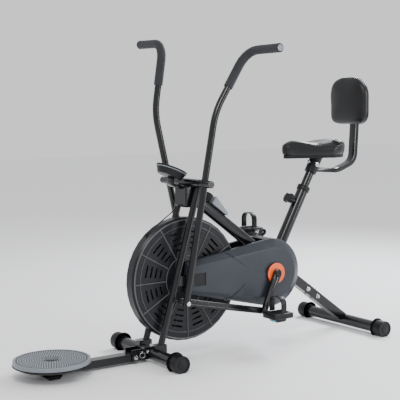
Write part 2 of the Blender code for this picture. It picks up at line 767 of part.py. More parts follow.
def fan_cover():
    """Half of the drum: a face with rows of slots and half of the rim band."""
    bore = FAN_HUB_R + FAN_HUB_ROOM
    corner = DRUM_WALL / 3
    face_back = DRUM_FACE_Y - DRUM_WALL
    hub_back = DRUM_HUB_Y - DRUM_WALL
    outer = [(bore, DRUM_HUB_Y), (DRUM_BOSS_R, DRUM_HUB_Y), (DRUM_BOSS_FOOT_R, DRUM_FACE_Y),
             (DRUM_FACE_R, DRUM_FACE_Y), (DRUM_R, DRUM_FACE_Y - DRUM_LIP), (DRUM_R, GAP / 2)]
    inner = [(DRUM_R - DRUM_WALL, GAP / 2), (DRUM_R - DRUM_WALL, DRUM_FACE_Y - DRUM_LIP - corner),
             (DRUM_FACE_R - corner, face_back), (DRUM_BOSS_FOOT_R - corner, face_back),
             (DRUM_BOSS_R - corner, hub_back), (bore, hub_back)]
    start, end = side_point(FAN_AXIS, 0.0), side_point(FAN_AXIS, 1.0)
    cover = turned(outer + inner, start, end, DRUM_STEPS, closed=True)
    return cut(cover, slot_cutters())


def slot_cutters():
    mesh = bpy.data.meshes.new("slots")
    shape = bmesh.new()
    for sector in range(DRUM_SECTORS):
        angle = 2 * math.pi * (sector + 0.5) / DRUM_SECTORS
        for row in range(SLOTS_IN_SECTOR):
            radius = SLOT_START_R + row * SLOT_PITCH
            length = 2 * radius * math.tan(SLOT_ANGLE / 2)
            middle = along_slope(FAN_AXIS, angle, radius)
            place = side_point(middle, DRUM_FACE_Y)
            turn = Matrix.Rotation(-angle, 4, "Y")
            size = Matrix.Diagonal((SLOT_WIDTH, SLOT_DEPTH, length, 1.0))
            bmesh.ops.create_cube(shape, size=1.0, matrix=Matrix.Translation(place) @ turn @ size)
    shape.to_mesh(mesh)
    shape.free()
    return link_data(mesh)


# ---- chain cover, belt -----------------------------------------------------------------------
def build_covers(axis):
    for side, word in SIDES:
        finish(on_side(chain_cover(), side), "chain_cover_" + word, "slate_plastic", axis)
    finish(cover_spine(), "cover_spine", "slate_plastic", axis)
    finish(drive_belt(), "drive_belt", "belt_rubber", axis)


def chain_cover():
    """One side shell: a tray that opens towards the middle of the machine."""
    spare = 2 * COVER_BEVEL
    shell = side_plate([cover_outline(0.0)], COVER_INNER_Y - spare, COVER_OUTER_Y)
    shell = bevelled(shell, COVER_BEVEL)
    shell = cut(shell, box((0.0, -CUT_REACH, 0.0), (WHEELBASE, COVER_INNER_Y, WHEELBASE)))
    shell = cut(shell, side_plate([cover_outline(COVER_WALL)], 0.0, COVER_OUTER_Y - COVER_WALL))
    shell = cut(shell, cross_rod(CRANK_AXIS, 0.0, CUT_REACH, SPINDLE_R + SPINDLE_ROOM))
    half = DROPOUT_R + DROPOUT_ROOM
    outer_y = DROPOUT_Y + DROPOUT_THICK / 2 + DROPOUT_ROOM
    low = (COVER_FRONT_X - half, COVER_INNER_Y - half, FAN_AXIS[1] - half)
    high = (COVER_FRONT_X + half, outer_y, FAN_AXIS[1] + half)
    return cut(shell, box(low, high))


def cover_spine():
    """The band between the side shells, round the back of the crank housing."""
    half = COVER_INNER_Y - GAP
    mesh = bpy.data.meshes.new("spine")
    mesh.from_pydata([(COVER_REAR_R, 0.0, -half), (COVER_REAR_R, 0.0, half)], [(0, 1)], [])
    strip = link_data(mesh)
    screw = strip.modifiers.new("turn", "SCREW")
    screw.angle = SPINE_TOP_ANGLE - SPINE_BASE_ANGLE
    screw.steps = SPINE_STEPS
    screw.render_steps = SPINE_STEPS
    screw.use_merge_vertices = False
    band = baked(strip)
    wall = band.modifiers.new("wall", "SOLIDIFY")
    wall.thickness = COVER_WALL
    wall.offset = -1.0
    band = baked(band)
    moved(band, Matrix.Rotation(SPINE_BASE_ANGLE, 4, "Z"))
    moved(band, Matrix.Translation(side_point(CRANK_AXIS)) @ Matrix.Rotation(math.pi / 2, 4, "X"))
    band = cut(band, seat_tube_space(FRAME_TUBE_R + RUNNING_ROOM))
    leg_size = REAR_LEG_SIZE + 2 * RUNNING_ROOM
    return cut(band, square_bar(REAR_LEG_START, REAR_LEG_SLOPE, CUT_REACH, leg_size))


def drive_belt():
    mid_y = -PULLEY_FACE_Y - PULLEY_WIDTH / 2
    drive_r, fan_r = DRIVE_PULLEY_R + BELT_ROOM, FAN_PULLEY_R + BELT_ROOM
    inner = tapered_link(CRANK_AXIS, drive_r, FAN_AXIS, fan_r, 14)
    outer = tapered_link(CRANK_AXIS, drive_r + BELT_THICK, FAN_AXIS, fan_r + BELT_THICK, 14)
    return side_plate([outer, inner], mid_y - BELT_WIDTH / 2, mid_y + BELT_WIDTH / 2)


# ---- cranks and pedals -----------------------------------------------------------------------
def build_cranks(crank_axis):
    arm_outer = ARM_INNER_Y + ARM_THICK
    finish(cross_rod(CRANK_AXIS, -arm_outer, arm_outer, SPINDLE_R), "crank_spindle", "steel", crank_axis)
    finish(pulley(CRANK_AXIS, DRIVE_PULLEY_R, SPINDLE_R, 28), "drive_pulley", "steel", crank_axis)
    for side, word in SIDES:
        pin = crank_pin(side)
        outline = tapered_link(CRANK_AXIS, ARM_BOSS_R, pin, ARM_TIP_R)
        holes = [circle(CRANK_AXIS, SPINDLE_R + GAP), circle(pin, PEDAL_AXLE_R + GAP, 16)]
        inner_y, outer_y = sorted((side * ARM_INNER_Y, side * arm_outer))
        arm = side_plate([outline] + holes, inner_y, outer_y)
        finish(arm, "crank_arm_" + word, "black_enamel", crank_axis)
        disc_inner = side * (ARM_INNER_Y - GAP - CRANK_DISC_THICK)
        edge_r, edge_y = CRANK_DISC_R - CRANK_DISC_EDGE, CRANK_DISC_THICK - CRANK_DISC_EDGE
        profile = [(edge_r, CRANK_DISC_THICK), (CRANK_DISC_R, edge_y), (CRANK_DISC_R, 0.0),
                   (SPINDLE_R + GAP, 0.0), (SPINDLE_R + GAP, CRANK_DISC_THICK)]
        disc = turned(profile, side_point(CRANK_AXIS, disc_inner), side_point(CRANK_AXIS, side), 28,
                      closed=True)
        finish(disc, "crank_disc_" + word, "orange_plastic", crank_axis)
        build_pedal(side, word, crank_axis)


def build_pedal(side, word, crank_axis):
    pin = crank_pin(side)
    axle_end = side * (PEDAL_INNER_Y + PEDAL_WIDTH - PEDAL_AXLE_INSET)
    axle_start = side * (LINK_Y + LINK_THICK / 2 + PIVOT_CLEARANCE)
    axle = cross_rod(pin, axle_start, axle_end, PEDAL_AXLE_R, 16)
    finish(axle, "pedal_axle_" + word, "steel", crank_axis)
    spin = joint_axis("pedal_spin_" + word, side_point(pin, side * PEDAL_INNER_Y), crank_axis)
    in_x, in_y = PEDAL_LENGTH / 2 - PEDAL_CORNER_R, PEDAL_WIDTH / 2 - PEDAL_CORNER_R
    outline = []
    for sign_x, sign_y, turn in ((1, 1, 0), (-1, 1, 1), (-1, -1, 2), (1, -1, 3)):
        centre = (sign_x * in_x, PEDAL_WIDTH / 2 + sign_y * in_y)
        outline += arc(centre, PEDAL_CORNER_R, turn * math.pi / 2, (turn + 1) * math.pi / 2, 4)
    body = flat_shape([outline], PEDAL_HEIGHT)
    body = bevelled(body, PEDAL_EDGE)
    body = moved(body, Matrix.Translation(side_point(pin, PEDAL_INNER_Y)))
    bore_end = abs(axle_end) + PEDAL_AXLE_END_ROOM
    body = cut(body, cross_rod(pin, 0.0, bore_end, PEDAL_AXLE_R + GAP, 16))
    finish(on_side(body, side), "pedal_" + word, "black_plastic", spin)
    finish(on_side(pedal_strap(pin), side), "pedal_strap_" + word, "black_plastic", spin)


def pedal_strap(pin):
    """A band that arches over the foot from one side of the pedal to the other."""
    top = PEDAL_HEIGHT / 2
    inner, outer = PEDAL_INNER_Y + STRAP_THICK, PEDAL_INNER_Y + PEDAL_WIDTH - STRAP_THICK
    base = pin[1] + top + GAP
    corners = [(inner, base), (inner, base + STRAP_RISE), (outer, base + STRAP_RISE), (outer, base)]
    corners = [(y, 0.0, z) for y, z in corners]
    path = [(p.x, p.z) for p in rounded_path(corners, (STRAP_CORNER_R, STRAP_CORNER_R))]
    band = flat_shape([bar_outline(path, STRAP_THICK / 2)], STRAP_WIDTH)
    stand = Matrix.Rotation(math.pi / 2, 4, "Z") @ Matrix.Rotation(math.pi / 2, 4, "X")
    return moved(band, Matrix.Translation((pin[0], 0, 0)) @ stand)


# ---- handlebars and links --------------------------------------------------------------------
def handle_corners():
    """An upright handlebar about its pivot: lower end, pivot, bend, grip corner and tip."""
    bend = Vector((0.0, 0.0, HANDLE_BEND_UP))
    corner = bend + HANDLE_UPPER * Vector((math.sin(HANDLE_BEND_ANGLE), 0.0, math.cos(HANDLE_BEND_ANGLE)))
    tip = corner + Vector((GRIP_SWEEP, GRIP_LEG, GRIP_RISE))
    return [Vector((0.0, 0.0, -HANDLE_LOWER)), bend, corner, tip]


def handle_matrix(side):
    place = side_point(HANDLE_AXIS, HANDLE_Y)
    return Matrix.Translation(place) @ Matrix.Rotation(handle_lean(side), 4, "Y")


def grip_points(path):
    """The part of the handlebar's path that the foam grip covers."""
    bend = handle_corners()[1]
    points = []
    for start, end in zip(path, path[1:]):
        reach_start, reach_end = (start - bend).length, (end - bend).length
        if start.z > bend.z and reach_start >= GRIP_START:
            points.append(start)
        elif end.z > bend.z and reach_end >= GRIP_START > reach_start:
            share = (GRIP_START - reach_start) / (reach_end - reach_start)
            points.append(start.lerp(end, share))
    last = path[-1] + (path[-2] - path[-1]).normalized() * GRIP_END_SETBACK
    return points + [last]


def build_handle(side, word, frame_axis):
    pivot = joint_axis("handle_axis_" + word, side_point(HANDLE_AXIS, side * HANDLE_Y), frame_axis)
    build_link(side, word, pivot)
    path = rounded_path(handle_corners(), (LOWER_BEND_R, UPPER_BEND_R))
    swing = handle_matrix(side)
    bar = moved(pipe(path, HANDLE_TUBE_R), swing)
    bar = join(bar, cross_rod(HANDLE_AXIS, CROSS_TUBE_HALF + RUNNING_ROOM, BUSH_END_Y, BUSH_R))
    bore_end = BUSH_END_Y - SHAFT_INSET + SHAFT_END_ROOM
    bar = cut(bar, cross_rod(HANDLE_AXIS, 0.0, bore_end, SHAFT_R + GAP))
    pin = link_pin(side)
    bar = cut(bar, cross_rod(pin, 0.0, CUT_REACH, LINK_BOLT_R + GAP, 16))
    finish(on_side(bar, side), "handlebar_" + word, "black_enamel", pivot)
    grip = moved(sleeve(grip_points(path), GRIP_R, HANDLE_TUBE_R + GRIP_ROOM), swing)
    finish(on_side(grip, side), "grip_" + word, "foam", pivot)
    finish(on_side(link_bolt(pin), side), "link_bolt_" + word, "steel", pivot)


def link_bolt(pin):
    """The bolt through the handlebar's lower end, with the collar that holds the link off it."""
    tip_y = LINK_Y - LINK_THICK / 2 - GAP
    collar_y = LINK_Y + LINK_THICK / 2 + GAP
    tube_y = HANDLE_Y - HANDLE_TUBE_R - GAP
    head_y = HANDLE_Y + HANDLE_TUBE_R + GAP
    end_y = head_y + LINK_HEAD_THICK
    stations = [(0.0, end_y), (LINK_HEAD_R, end_y), (LINK_HEAD_R, head_y), (LINK_BOLT_R, head_y),
                (LINK_BOLT_R, tube_y), (LINK_COLLAR_R, tube_y), (LINK_COLLAR_R, collar_y),
                (LINK_BOLT_R, collar_y), (LINK_BOLT_R, tip_y), (0.0, tip_y)]
    return turned(stations, side_point(pin, 0.0), side_point(pin, 1.0), 16)


def build_link(side, word, handle):
    """The link hangs on the handlebar's bolt; its rear eye stands beside the pedal axle's inner end."""
    pin, front = crank_pin(side), link_pin(side)
    swing = joint_axis("link_axis_" + word, side_point(front, side * LINK_Y), handle)
    outline = tapered_link(pin, LINK_HALF_HEIGHT, front, LINK_HALF_HEIGHT)
    holes = [circle(pin, PEDAL_AXLE_R + GAP, 16), circle(front, LINK_BOLT_R + GAP, 16)]
    link = side_plate([outline] + holes, LINK_Y - LINK_THICK / 2, LINK_Y + LINK_THICK / 2)
    finish(on_side(link, side), "link_rod_" + word, "black_enamel", swing)


# ---- seat and back rest ----------------------------------------------------------------------
def build_seat(seat_axis, knob_axis):
    post = rod(side_point(seat_line(POST_TOP - POST_LENGTH)), side_point(seat_line(POST_TOP)), POST_R)
    finish(post, "seat_post", "black_enamel", seat_axis)
    finish(seat_base(), "seat_base", "black_plastic", seat_axis)
    pad = flat_shape([saddle_outline()], PAD_THICK)
    pad = bevelled(pad, PAD_EDGE, 2)
    moved(pad, Matrix.Translation((0, 0, SADDLE_BASE_Z + PAN_THICK + GAP + PAD_THICK / 2)))
    finish(pad, "seat_pad", "vinyl", seat_axis)
    finish(back_bar(), "backrest_bar", "black_enamel", seat_axis)
    finish(back_pad(), "backrest_pad", "vinyl", seat_axis)

    finish(height_knob(), "height_knob", "black_plastic", knob_axis)


def height_knob():
    """A round grip on the pin that locks the seat post."""
    face = FRAME_TUBE_R + HEIGHT_BOSS_REACH + RUNNING_ROOM
    edge = 0.0045
    neck = 0.006
    profile = [(0.0, HEIGHT_KNOB_THICK), (HEIGHT_KNOB_R - edge, HEIGHT_KNOB_THICK),
               (HEIGHT_KNOB_R, HEIGHT_KNOB_THICK - edge), (HEIGHT_KNOB_R, neck),
               (HEIGHT_KNOB_NECK_R, 0.0), (0.0, 0.0)]
    start = side_point(seat_line(HEIGHT_KNOB_STATION, face))
    grip = turned(profile, start, side_point(seat_line(HEIGHT_KNOB_STATION, 1.0)))
    pin_end = side_point(seat_line(HEIGHT_KNOB_STATION, face + neck))
    pin_tip = side_point(seat_line(HEIGHT_KNOB_STATION, POST_R + RUNNING_ROOM))
    return join(grip, rod(pin_tip, pin_end, HEIGHT_PIN_R, 12))


def seat_base():
    """The pan under the pad and the clamp on the post."""
    pan = flat_shape([saddle_outline(PAN_INSET)], PAN_THICK)
    moved(pan, Matrix.Translation((0, 0, SADDLE_BASE_Z + PAN_THICK / 2)))
    clamp = rod(side_point(seat_line(CLAMP_START)), side_point(seat_line(CLAMP_END)), CLAMP_R)
    base = join(pan, clamp)
    pan_top = SADDLE_BASE_Z + PAN_THICK
    front, rear = SADDLE_NOSE_X - CUT_REACH, SADDLE_NOSE_X + SADDLE_LENGTH
    base = cut(base, box((front, -CUT_REACH, pan_top), (rear, CUT_REACH, pan_top + CUT_REACH)))
    low, high = seat_line(CLAMP_START - CUT_REACH), seat_line(POST_TOP + GAP)
    return cut(base, rod(side_point(low), side_point(high), POST_R + GAP))


def back_path():
    """The back rest bar's route: rearward from the clamp, then up behind the pad."""
    middle_x = BACK_BAR_FACE_X + BACK_BAR_HALF
    corners = [side_point(seat_line(CLAMP_START + BACK_BAR_SETBACK)), side_point(BACK_BAR_LOW),
               Vector((middle_x - BACK_BAR_LEAN, 0, BACK_BAR_HEEL_Z)),
               Vector((middle_x, 0, BACK_PAD_BASE_Z)),
               Vector((middle_x, 0, BACK_PAD_BASE_Z + BACK_BAR_OVERLAP))]
    return [(p.x, p.z) for p in rounded_path(corners, BACK_BAR_BENDS, 4)]


def back_bar():
    half = BACK_BAR_WIDTH / 2
    bar = side_plate([bar_outline(back_path(), BACK_BAR_HALF)], -half, half)
    low, high = seat_line(CLAMP_START - CUT_REACH), seat_line(CLAMP_END + CUT_REACH)
    return cut(bar, rod(side_point(low), side_point(high), CLAMP_R + GAP))


def back_pad():
    """A cushion with a straight foot and a round top, seen from the front."""
    half = BACK_PAD_WIDTH / 2
    foot_r, top_r = BACK_PAD_FOOT_R, BACK_PAD_TOP_R
    top = BACK_PAD_HEIGHT
    outline = arc((half - foot_r, foot_r), foot_r, -math.pi / 2, 0, 4)
    outline += arc((half - top_r, top - top_r), top_r, 0, math.pi / 2, 6)
    outline += arc((top_r - half, top - top_r), top_r, math.pi / 2, math.pi, 6)
    outline += arc((foot_r - half, foot_r), foot_r, math.pi, 3 * math.pi / 2, 4)
    pad = flat_shape([outline], BACK_PAD_THICK)
    pad = bevelled(pad, BACK_PAD_EDGE, 2)
    upright = Matrix.Rotation(math.pi / 2, 4, "Z") @ Matrix.Rotation(math.pi / 2, 4, "X")
    middle_x = BACK_BAR_FACE_X - GAP - BACK_PAD_THICK / 2
    return moved(pad, Matrix.Translation((middle_x, 0, BACK_PAD_BASE_Z)) @ upright)


# ---- console, tension control, cable ---------------------------------------------------------
def build_console(axis):
    tilt = Matrix.Rotation(CONSOLE_TILT, 4, "Y")
    place = Matrix.Translation(side_point(CONSOLE_CENTRE)) @ tilt
    half = CONSOLE_THICK / 2
    body = turned([(0.0, half), (CONSOLE_R - 0.010, half), (CONSOLE_R, half - 0.006), (CONSOLE_R, 0.0),
                   (CONSOLE_R - 0.016, -half), (0.0, -half)], (0, 0, 0), (0, 0, 1), 32)
    finish(moved(body, place), "console", "black_plastic", axis)
    finish(console_stalk(place), "console_bracket", "black_enamel", axis)


def console_stalk(place):
    """A flat bar from the console's underside to the front of the head bracket."""
    base = -CONSOLE_THICK / 2 - GAP
    wall_x = HEAD_FRONT_X - GAP
    under = place @ Vector((STALK_X, 0, base))
    bend = place @ Vector((STALK_X, 0, base - STALK_DROP))
    corners = [under, bend, Vector((wall_x, 0, bend.z - STALK_HALF_WIDTH))]
    path = [(p.x, p.z) for p in rounded_path(corners, (STALK_CORNER_R,), 4)]
    outline = bar_outline(path, STALK_HALF_THICK)
    stalk = side_plate([outline], -STALK_HALF_WIDTH, STALK_HALF_WIDTH)
    low = (wall_x, -CUT_REACH, HEAD_BASE_Z - CUT_REACH)
    high = (wall_x + CUT_REACH, CUT_REACH, HEAD_TOP_Z + CUT_REACH)
    stalk = cut(stalk, box(low, high))
    above = box((-CUT_REACH, -CUT_REACH, base), (CUT_REACH, CUT_REACH, CUT_REACH))
    return cut(stalk, moved(above, place))


def top_line(station, height=0.0):
    """A side-view place along the top tube, raised square to it."""
    x, z = along_slope(TOP_TUBE_START, TOP_TUBE_SLOPE, station)
    return (x - height * math.sin(TOP_TUBE_SLOPE), z + height * math.cos(TOP_TUBE_SLOPE))


def build_tension(axis, knob_axis):
    base = FRAME_TUBE_R + GAP
    rear = TENSION_STATION + TENSION_LENGTH
    outline = [top_line(TENSION_STATION, base), top_line(rear, base), top_line(rear, base + TENSION_LOW),
               top_line(TENSION_STATION, base + TENSION_HIGH)]
    half = TENSION_WIDTH / 2
    housing = bevelled(side_plate([outline[::-1]], -half, half), 0.003)
    finish(housing, "tension_housing", "grey_plastic", axis)
    start = side_point(knob_axis["side_place"])
    end = side_point(top_line(TENSION_STATION - TENSION_KNOB_BACK, 1.0))
    edge = 0.003
    knob = turned([(0.0, TENSION_KNOB_HEIGHT), (TENSION_KNOB_R - edge, TENSION_KNOB_HEIGHT),
                   (TENSION_KNOB_R, TENSION_KNOB_HEIGHT - edge), (TENSION_KNOB_R, 0.0), (0.0, 0.0)],
                  start, end)
    finish(knob, "tension_knob", "black_plastic", knob_axis)


def build_cable(axis):
    """The brake cable, from the head down to the drum, where it lies on the rim."""
    bend = Vector(CABLE_BEND)
    ride_r = DRUM_R + CABLE_R + 2 * GAP
    reach = bend - Vector(FAN_AXIS)
    touch = math.atan2(reach.y, reach.x) + math.acos(ride_r / reach.length)
    on_rim = arc(FAN_AXIS, ride_r, touch, touch + CABLE_LAY, 4)
    start = Vector((HEAD_FRONT_X - 0.004, HEAD_BASE_Z + 0.010))
    mid = bend.lerp(Vector(on_rim[0]), 0.5)
    route = [start, bend.lerp(start, 0.35), bend.lerp(mid, 0.15), mid] + on_rim
    points = [side_point(place) for place in route]
    finish(pipe(points, CABLE_R, 2), "brake_cable", "black_plastic", axis)


# ---- waist twister ---------------------------------------------------------------------------
def build_twister(frame_axis, arm_axis, disc_axis):
    hinge_x, hinge_z = TWISTER_HINGE
    half = TWISTER_ARM_WIDTH / 2
    arm_top = TWISTER_ARM_BASE_Z + TWISTER_ARM_HEIGHT
    arm = box((-TWISTER_REACH - 0.030, -half, TWISTER_ARM_BASE_Z), (hinge_x + 0.014, half, arm_top))
    arm = bevelled(arm, 0.002)
    wall = TWISTER_ARM_WALL
    low = (-TWISTER_REACH - CUT_REACH, wall - half, TWISTER_ARM_BASE_Z + wall)
    arm = cut(arm, box(low, (CUT_REACH, half - wall, arm_top - wall)))
    sink = 0.001
    foot_x = -TWISTER_REACH - 0.010
    foot = side_plate([[(foot_x - TWISTER_FOOT_HALF, 0.0), (foot_x + TWISTER_FOOT_HALF, 0.0),
                        (foot_x + TWISTER_FOOT_HALF + 0.012, TWISTER_ARM_BASE_Z + sink),
                        (foot_x - TWISTER_FOOT_HALF - 0.012, TWISTER_ARM_BASE_Z + sink)]],
                      -TWISTER_FOOT_WIDTH / 2, TWISTER_FOOT_WIDTH / 2)
    arm = join(arm, foot)
    arm = cut(arm, cross_rod(TWISTER_HINGE, -CUT_REACH, CUT_REACH, TWISTER_BOLT_R + GAP, 16))
    finish(arm, "twister_arm", "black_enamel", arm_axis)

    base_z = arm_top + GAP
    base = turned([(0.0, TWISTER_BASE_THICK), (TWISTER_BASE_R, TWISTER_BASE_THICK),
                   (TWISTER_BASE_R, TWISTER_BASE_THICK - 0.004), (TWISTER_BASE_R - 0.022, 0.0), (0.0, 0.0)],
                  (-TWISTER_REACH, 0, base_z), (-TWISTER_REACH, 0, 1), 40)
    finish(base, "twister_base", "black_plastic", arm_axis)
    disc_z = TWISTER_TOP_Z - TWISTER_DISC_THICK
    disc = turned([(0.0, TWISTER_DISC_THICK), (TWISTER_R - 0.003, TWISTER_DISC_THICK),
                   (TWISTER_R, TWISTER_DISC_THICK - 0.003), (TWISTER_R, 0.0), (0.0, 0.0)],
                  (-TWISTER_REACH, 0, disc_z), (-TWISTER_REACH, 0, 1), 40)
    finish(disc, "twister_disc", "grey_plastic", disc_axis)

    finish(twister_bracket(), "twister_bracket", "black_enamel", frame_axis)
    finish(twister_bolt(), "twister_bolt", "steel", frame_axis)


def twister_bracket():
    """Two cheeks on the front stabilizer that hold the arm's hinge bolt."""
    inner = TWISTER_ARM_WIDTH / 2 + RUNNING_ROOM
    outer = inner + BRACKET_WALL
    front_x = TWISTER_HINGE[0] - BRACKET_FRONT_REACH
    slot_rear = TWISTER_HINGE[0] + BRACKET_SLOT_REACH
    bracket = box((front_x, -outer, BRACKET_BASE_Z), (BRACKET_REAR_X, outer, BRACKET_TOP_Z))
    bracket = cut(bracket, box((front_x - CUT_REACH, -inner, -CUT_REACH), (slot_rear, inner, CUT_REACH)))
    bracket = cut(bracket, cross_rod((0.0, FOOT_Z), -CUT_REACH, CUT_REACH, FOOT_TUBE_R + GAP))
    return cut(bracket, cross_rod(TWISTER_HINGE, -CUT_REACH, CUT_REACH, TWISTER_BOLT_R + GAP, 16))


def twister_bolt():
    reach = TWISTER_ARM_WIDTH / 2 + RUNNING_ROOM + BRACKET_WALL + GAP
    far = 2 * reach + BOLT_HEAD_THICK
    profile = [(0.0, far + BOLT_HEAD_THICK), (BOLT_HEAD_R, far + BOLT_HEAD_THICK), (BOLT_HEAD_R, far),
               (TWISTER_BOLT_R, far), (TWISTER_BOLT_R, BOLT_HEAD_THICK), (BOLT_HEAD_R, BOLT_HEAD_THICK),
               (BOLT_HEAD_R, 0.0), (0.0, 0.0)]
    start = side_point(TWISTER_HINGE, -reach - BOLT_HEAD_THICK)
    return turned(profile, start, side_point(TWISTER_HINGE, 1.0), 16)


def build_machine():
    datum = joint_axis("datum", (0, 0, 0))
    datum.location = (DATUM_X, 0, 0)
    build_foot("front_foot", 0.0, FRONT_FOOT_LENGTH, datum)
    build_foot("rear_foot", WHEELBASE, REAR_FOOT_LENGTH, datum)
    build_frame(datum)
    fan = joint_axis("fan_axis", side_point(FAN_AXIS), datum)
    build_fan(datum, fan)
    build_covers(datum)
    crank = joint_axis("crank_axis", side_point(CRANK_AXIS), datum)
    build_cranks(crank)
    for side, word in SIDES:
        build_handle(side, word, datum)
    seat = joint_axis("seat_axis", side_point(seat_line(POST_TOP)), datum)
    knob = joint_axis("height_knob_axis", side_point(seat_line(HEIGHT_KNOB_STATION, FRAME_TUBE_R)), datum)
    build_seat(seat, knob)
    build_console(datum)
    tension_place = top_line(TENSION_STATION - TENSION_KNOB_BACK, FRAME_TUBE_R + TENSION_KNOB_LIFT)
    tension = joint_axis("tension_axis", side_point(tension_place), datum)
    tension["side_place"] = tension_place
    build_tension(datum, tension)
    build_cable(datum)
    arm = joint_axis("twister_arm_axis", side_point(TWISTER_HINGE), datum)
    disc = joint_axis("twister_disc_axis", (-TWISTER_REACH, 0, TWISTER_TOP_Z), arm)
    build_twister(datum, arm, disc)


SIDES = ((-1, "left"), (1, "right"))
clear_scene()
PARTS = parts_collection()
SURFACES = {name: make_material(name) for name in MATERIALS}
build_machine()
bpy.context.view_layer.update()
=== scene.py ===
"""Looks of the air bike: finishes, upholstery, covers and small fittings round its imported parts.

Lengths are in metres. X runs to the machine's rear, Y to the rider's right and Z up, and a side
of -1 is the rider's left.
"""

import json
import math

import bpy
from mathutils import Matrix, Vector


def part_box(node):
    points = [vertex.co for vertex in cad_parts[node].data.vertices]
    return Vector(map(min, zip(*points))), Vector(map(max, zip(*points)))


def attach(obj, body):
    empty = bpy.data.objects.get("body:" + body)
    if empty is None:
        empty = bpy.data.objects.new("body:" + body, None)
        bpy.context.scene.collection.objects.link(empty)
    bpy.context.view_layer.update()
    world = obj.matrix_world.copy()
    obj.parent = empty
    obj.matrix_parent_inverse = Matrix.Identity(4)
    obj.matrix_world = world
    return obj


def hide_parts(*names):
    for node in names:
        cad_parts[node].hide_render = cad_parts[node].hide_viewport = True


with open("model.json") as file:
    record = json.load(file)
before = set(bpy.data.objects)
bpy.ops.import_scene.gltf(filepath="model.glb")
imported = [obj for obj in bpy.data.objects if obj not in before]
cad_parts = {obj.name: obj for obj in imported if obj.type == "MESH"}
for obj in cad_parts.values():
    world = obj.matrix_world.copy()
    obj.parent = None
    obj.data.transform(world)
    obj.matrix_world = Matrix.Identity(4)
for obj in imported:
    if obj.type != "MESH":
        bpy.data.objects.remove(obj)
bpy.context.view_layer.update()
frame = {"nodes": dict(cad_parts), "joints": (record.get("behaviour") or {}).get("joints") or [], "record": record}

SIDES = ((-1, "left"), (1, "right"))
PLACES = {joint["name"]: Vector(joint["pos_m"]) for joint in frame["joints"] if "pos_m" in joint}
SLIDES = {joint["name"]: Vector(joint["axis"]) for joint in frame["joints"]}
CRANK = PLACES["crank_spin"]
FAN = PLACES["fan_spin"]
TWISTER = PLACES["twister_spin"]
UP = Vector((0, 0, 1))

# ---- sizes of the pieces made here -----------------------------------------------------------
COVER_R = 0.146
COVER_FLAT_R = 0.108
COVER_FRONT_X = -0.124
COVER_FRONT_Z = (0.262, 0.390)
COVER_FRONT_FLAT_Z = (0.280, 0.374)
COVER_INNER_Y = 0.0403
COVER_SHOULDER_Y = 0.062
COVER_OUTER_Y = 0.085
COVER_WALL = 0.003
COVER_BORE_R = 0.013
GROOVE_DEPTH = 0.0022
GROOVE_CUTS = 6
UPPER_GROOVE = ((0.052, 0.428), (0.073, 0.408), (0.170, 0.341))
LOWER_GROOVE = ((0.036, 0.212), (0.070, 0.214), (0.163, 0.280))
RECESS_X = (-0.102, -0.044)
RECESS_Z = (0.293, 0.346)
RECESS_DEPTH = 0.0022

DRUM_FACE_Y = 0.030
DRUM_EDGE_R = 0.2435
RIB_START_R = 0.098
RIB_WIDTH = 0.0050
RIB_RISE = 0.004
RIB_TAPER = (0.97, 1.0, 0.45)
RIBS = 12

SADDLE_WRAP = 0.009
SADDLE_VOXEL = 0.005
SADDLE_CAP = 0.004
BACK_CAP = 0.0025
PAD_ROOM = 0.0006

TREAD_ROWS = 7
TREAD_PITCH = 0.0125
TREAD_WIDTH = 0.0038
TREAD_RISE = 0.0024
TREAD_SINK = 0.0014
TREAD_MARGIN = 0.016
WEIGHT_DROP = 0.0075
LENS_SIZE = (0.0026, 0.040, 0.0095)
LENS_REACH = 0.0275
LENS_DROP = 0.0070

PIN_R = 0.0042
PIN_LENGTH = 0.014
PIN_DROP = 0.012
PIN_RING_R = 0.011

LEG_START = Vector((0.376, 0, 0.3268))
LEG_SLOPE = Vector((0.804, 0, -0.5946))
LEG_NORMAL = Vector((0.5946, 0, 0.804))
LEG_FACE = 0.0201
CLAMP_FACE = 0.0272

STUD_R = 0.0026
STUD_RISE = 0.0016
STUD_PITCH = 0.0095
STUD_RINGS = range(4, 15)


# ---- hand tools ------------------------------------------------------------------------------
def clear_selection():
    if bpy.context.object and bpy.context.object.mode != "OBJECT":
        bpy.ops.object.mode_set(mode="OBJECT")
    bpy.ops.object.select_all(action="DESELECT")


def take(obj):
    clear_selection()
    obj.select_set(True)
    bpy.context.view_layer.objects.active = obj
    return obj


def add(kind, name, **settings):
    clear_selection()
    getattr(bpy.ops.mesh, "primitive_" + kind + "_add")(**settings)
    obj = bpy.context.object
    obj.name = name
    obj.data.name = name
    return obj


def settle(obj, matrix=Matrix.Identity(4)):
    """Move an object and leave its place in its mesh, with the object at the origin."""
    take(obj)
    obj.matrix_world = matrix @ obj.matrix_world
    bpy.ops.object.transform_apply(location=True, rotation=True, scale=True)
    return obj


def edit_faces(obj, wanted):
    """Open a piece in edit mode with the faces selected whose centre and normal are wanted."""
    take(obj)
    bpy.context.tool_settings.mesh_select_mode = (False, False, True)
    for vertex in obj.data.vertices:
        vertex.select = False
    for edge in obj.data.edges:
        edge.select = False
    for face in obj.data.polygons:
        face.select = bool(wanted(face.center, face.normal))
    bpy.ops.object.mode_set(mode="EDIT")


def edit_all(obj):
    take(obj)
    bpy.ops.object.mode_set(mode="EDIT")
    bpy.ops.mesh.select_all(action="SELECT")


def close_edit():
    bpy.ops.object.mode_set(mode="OBJECT")


def applied(obj, kind, **settings):
    take(obj)
    modifier = obj.modifiers.new("work", kind)
    for key, value in settings.items():
        setattr(modifier, key, value)
    bpy.ops.object.modifier_apply(modifier=modifier.name)
    return obj


def rounded(obj, width, segments=2, angle=40.0):
    return applied(obj, "BEVEL", width=width, segments=segments, limit_method="ANGLE",
                   angle_limit=math.radians(angle))


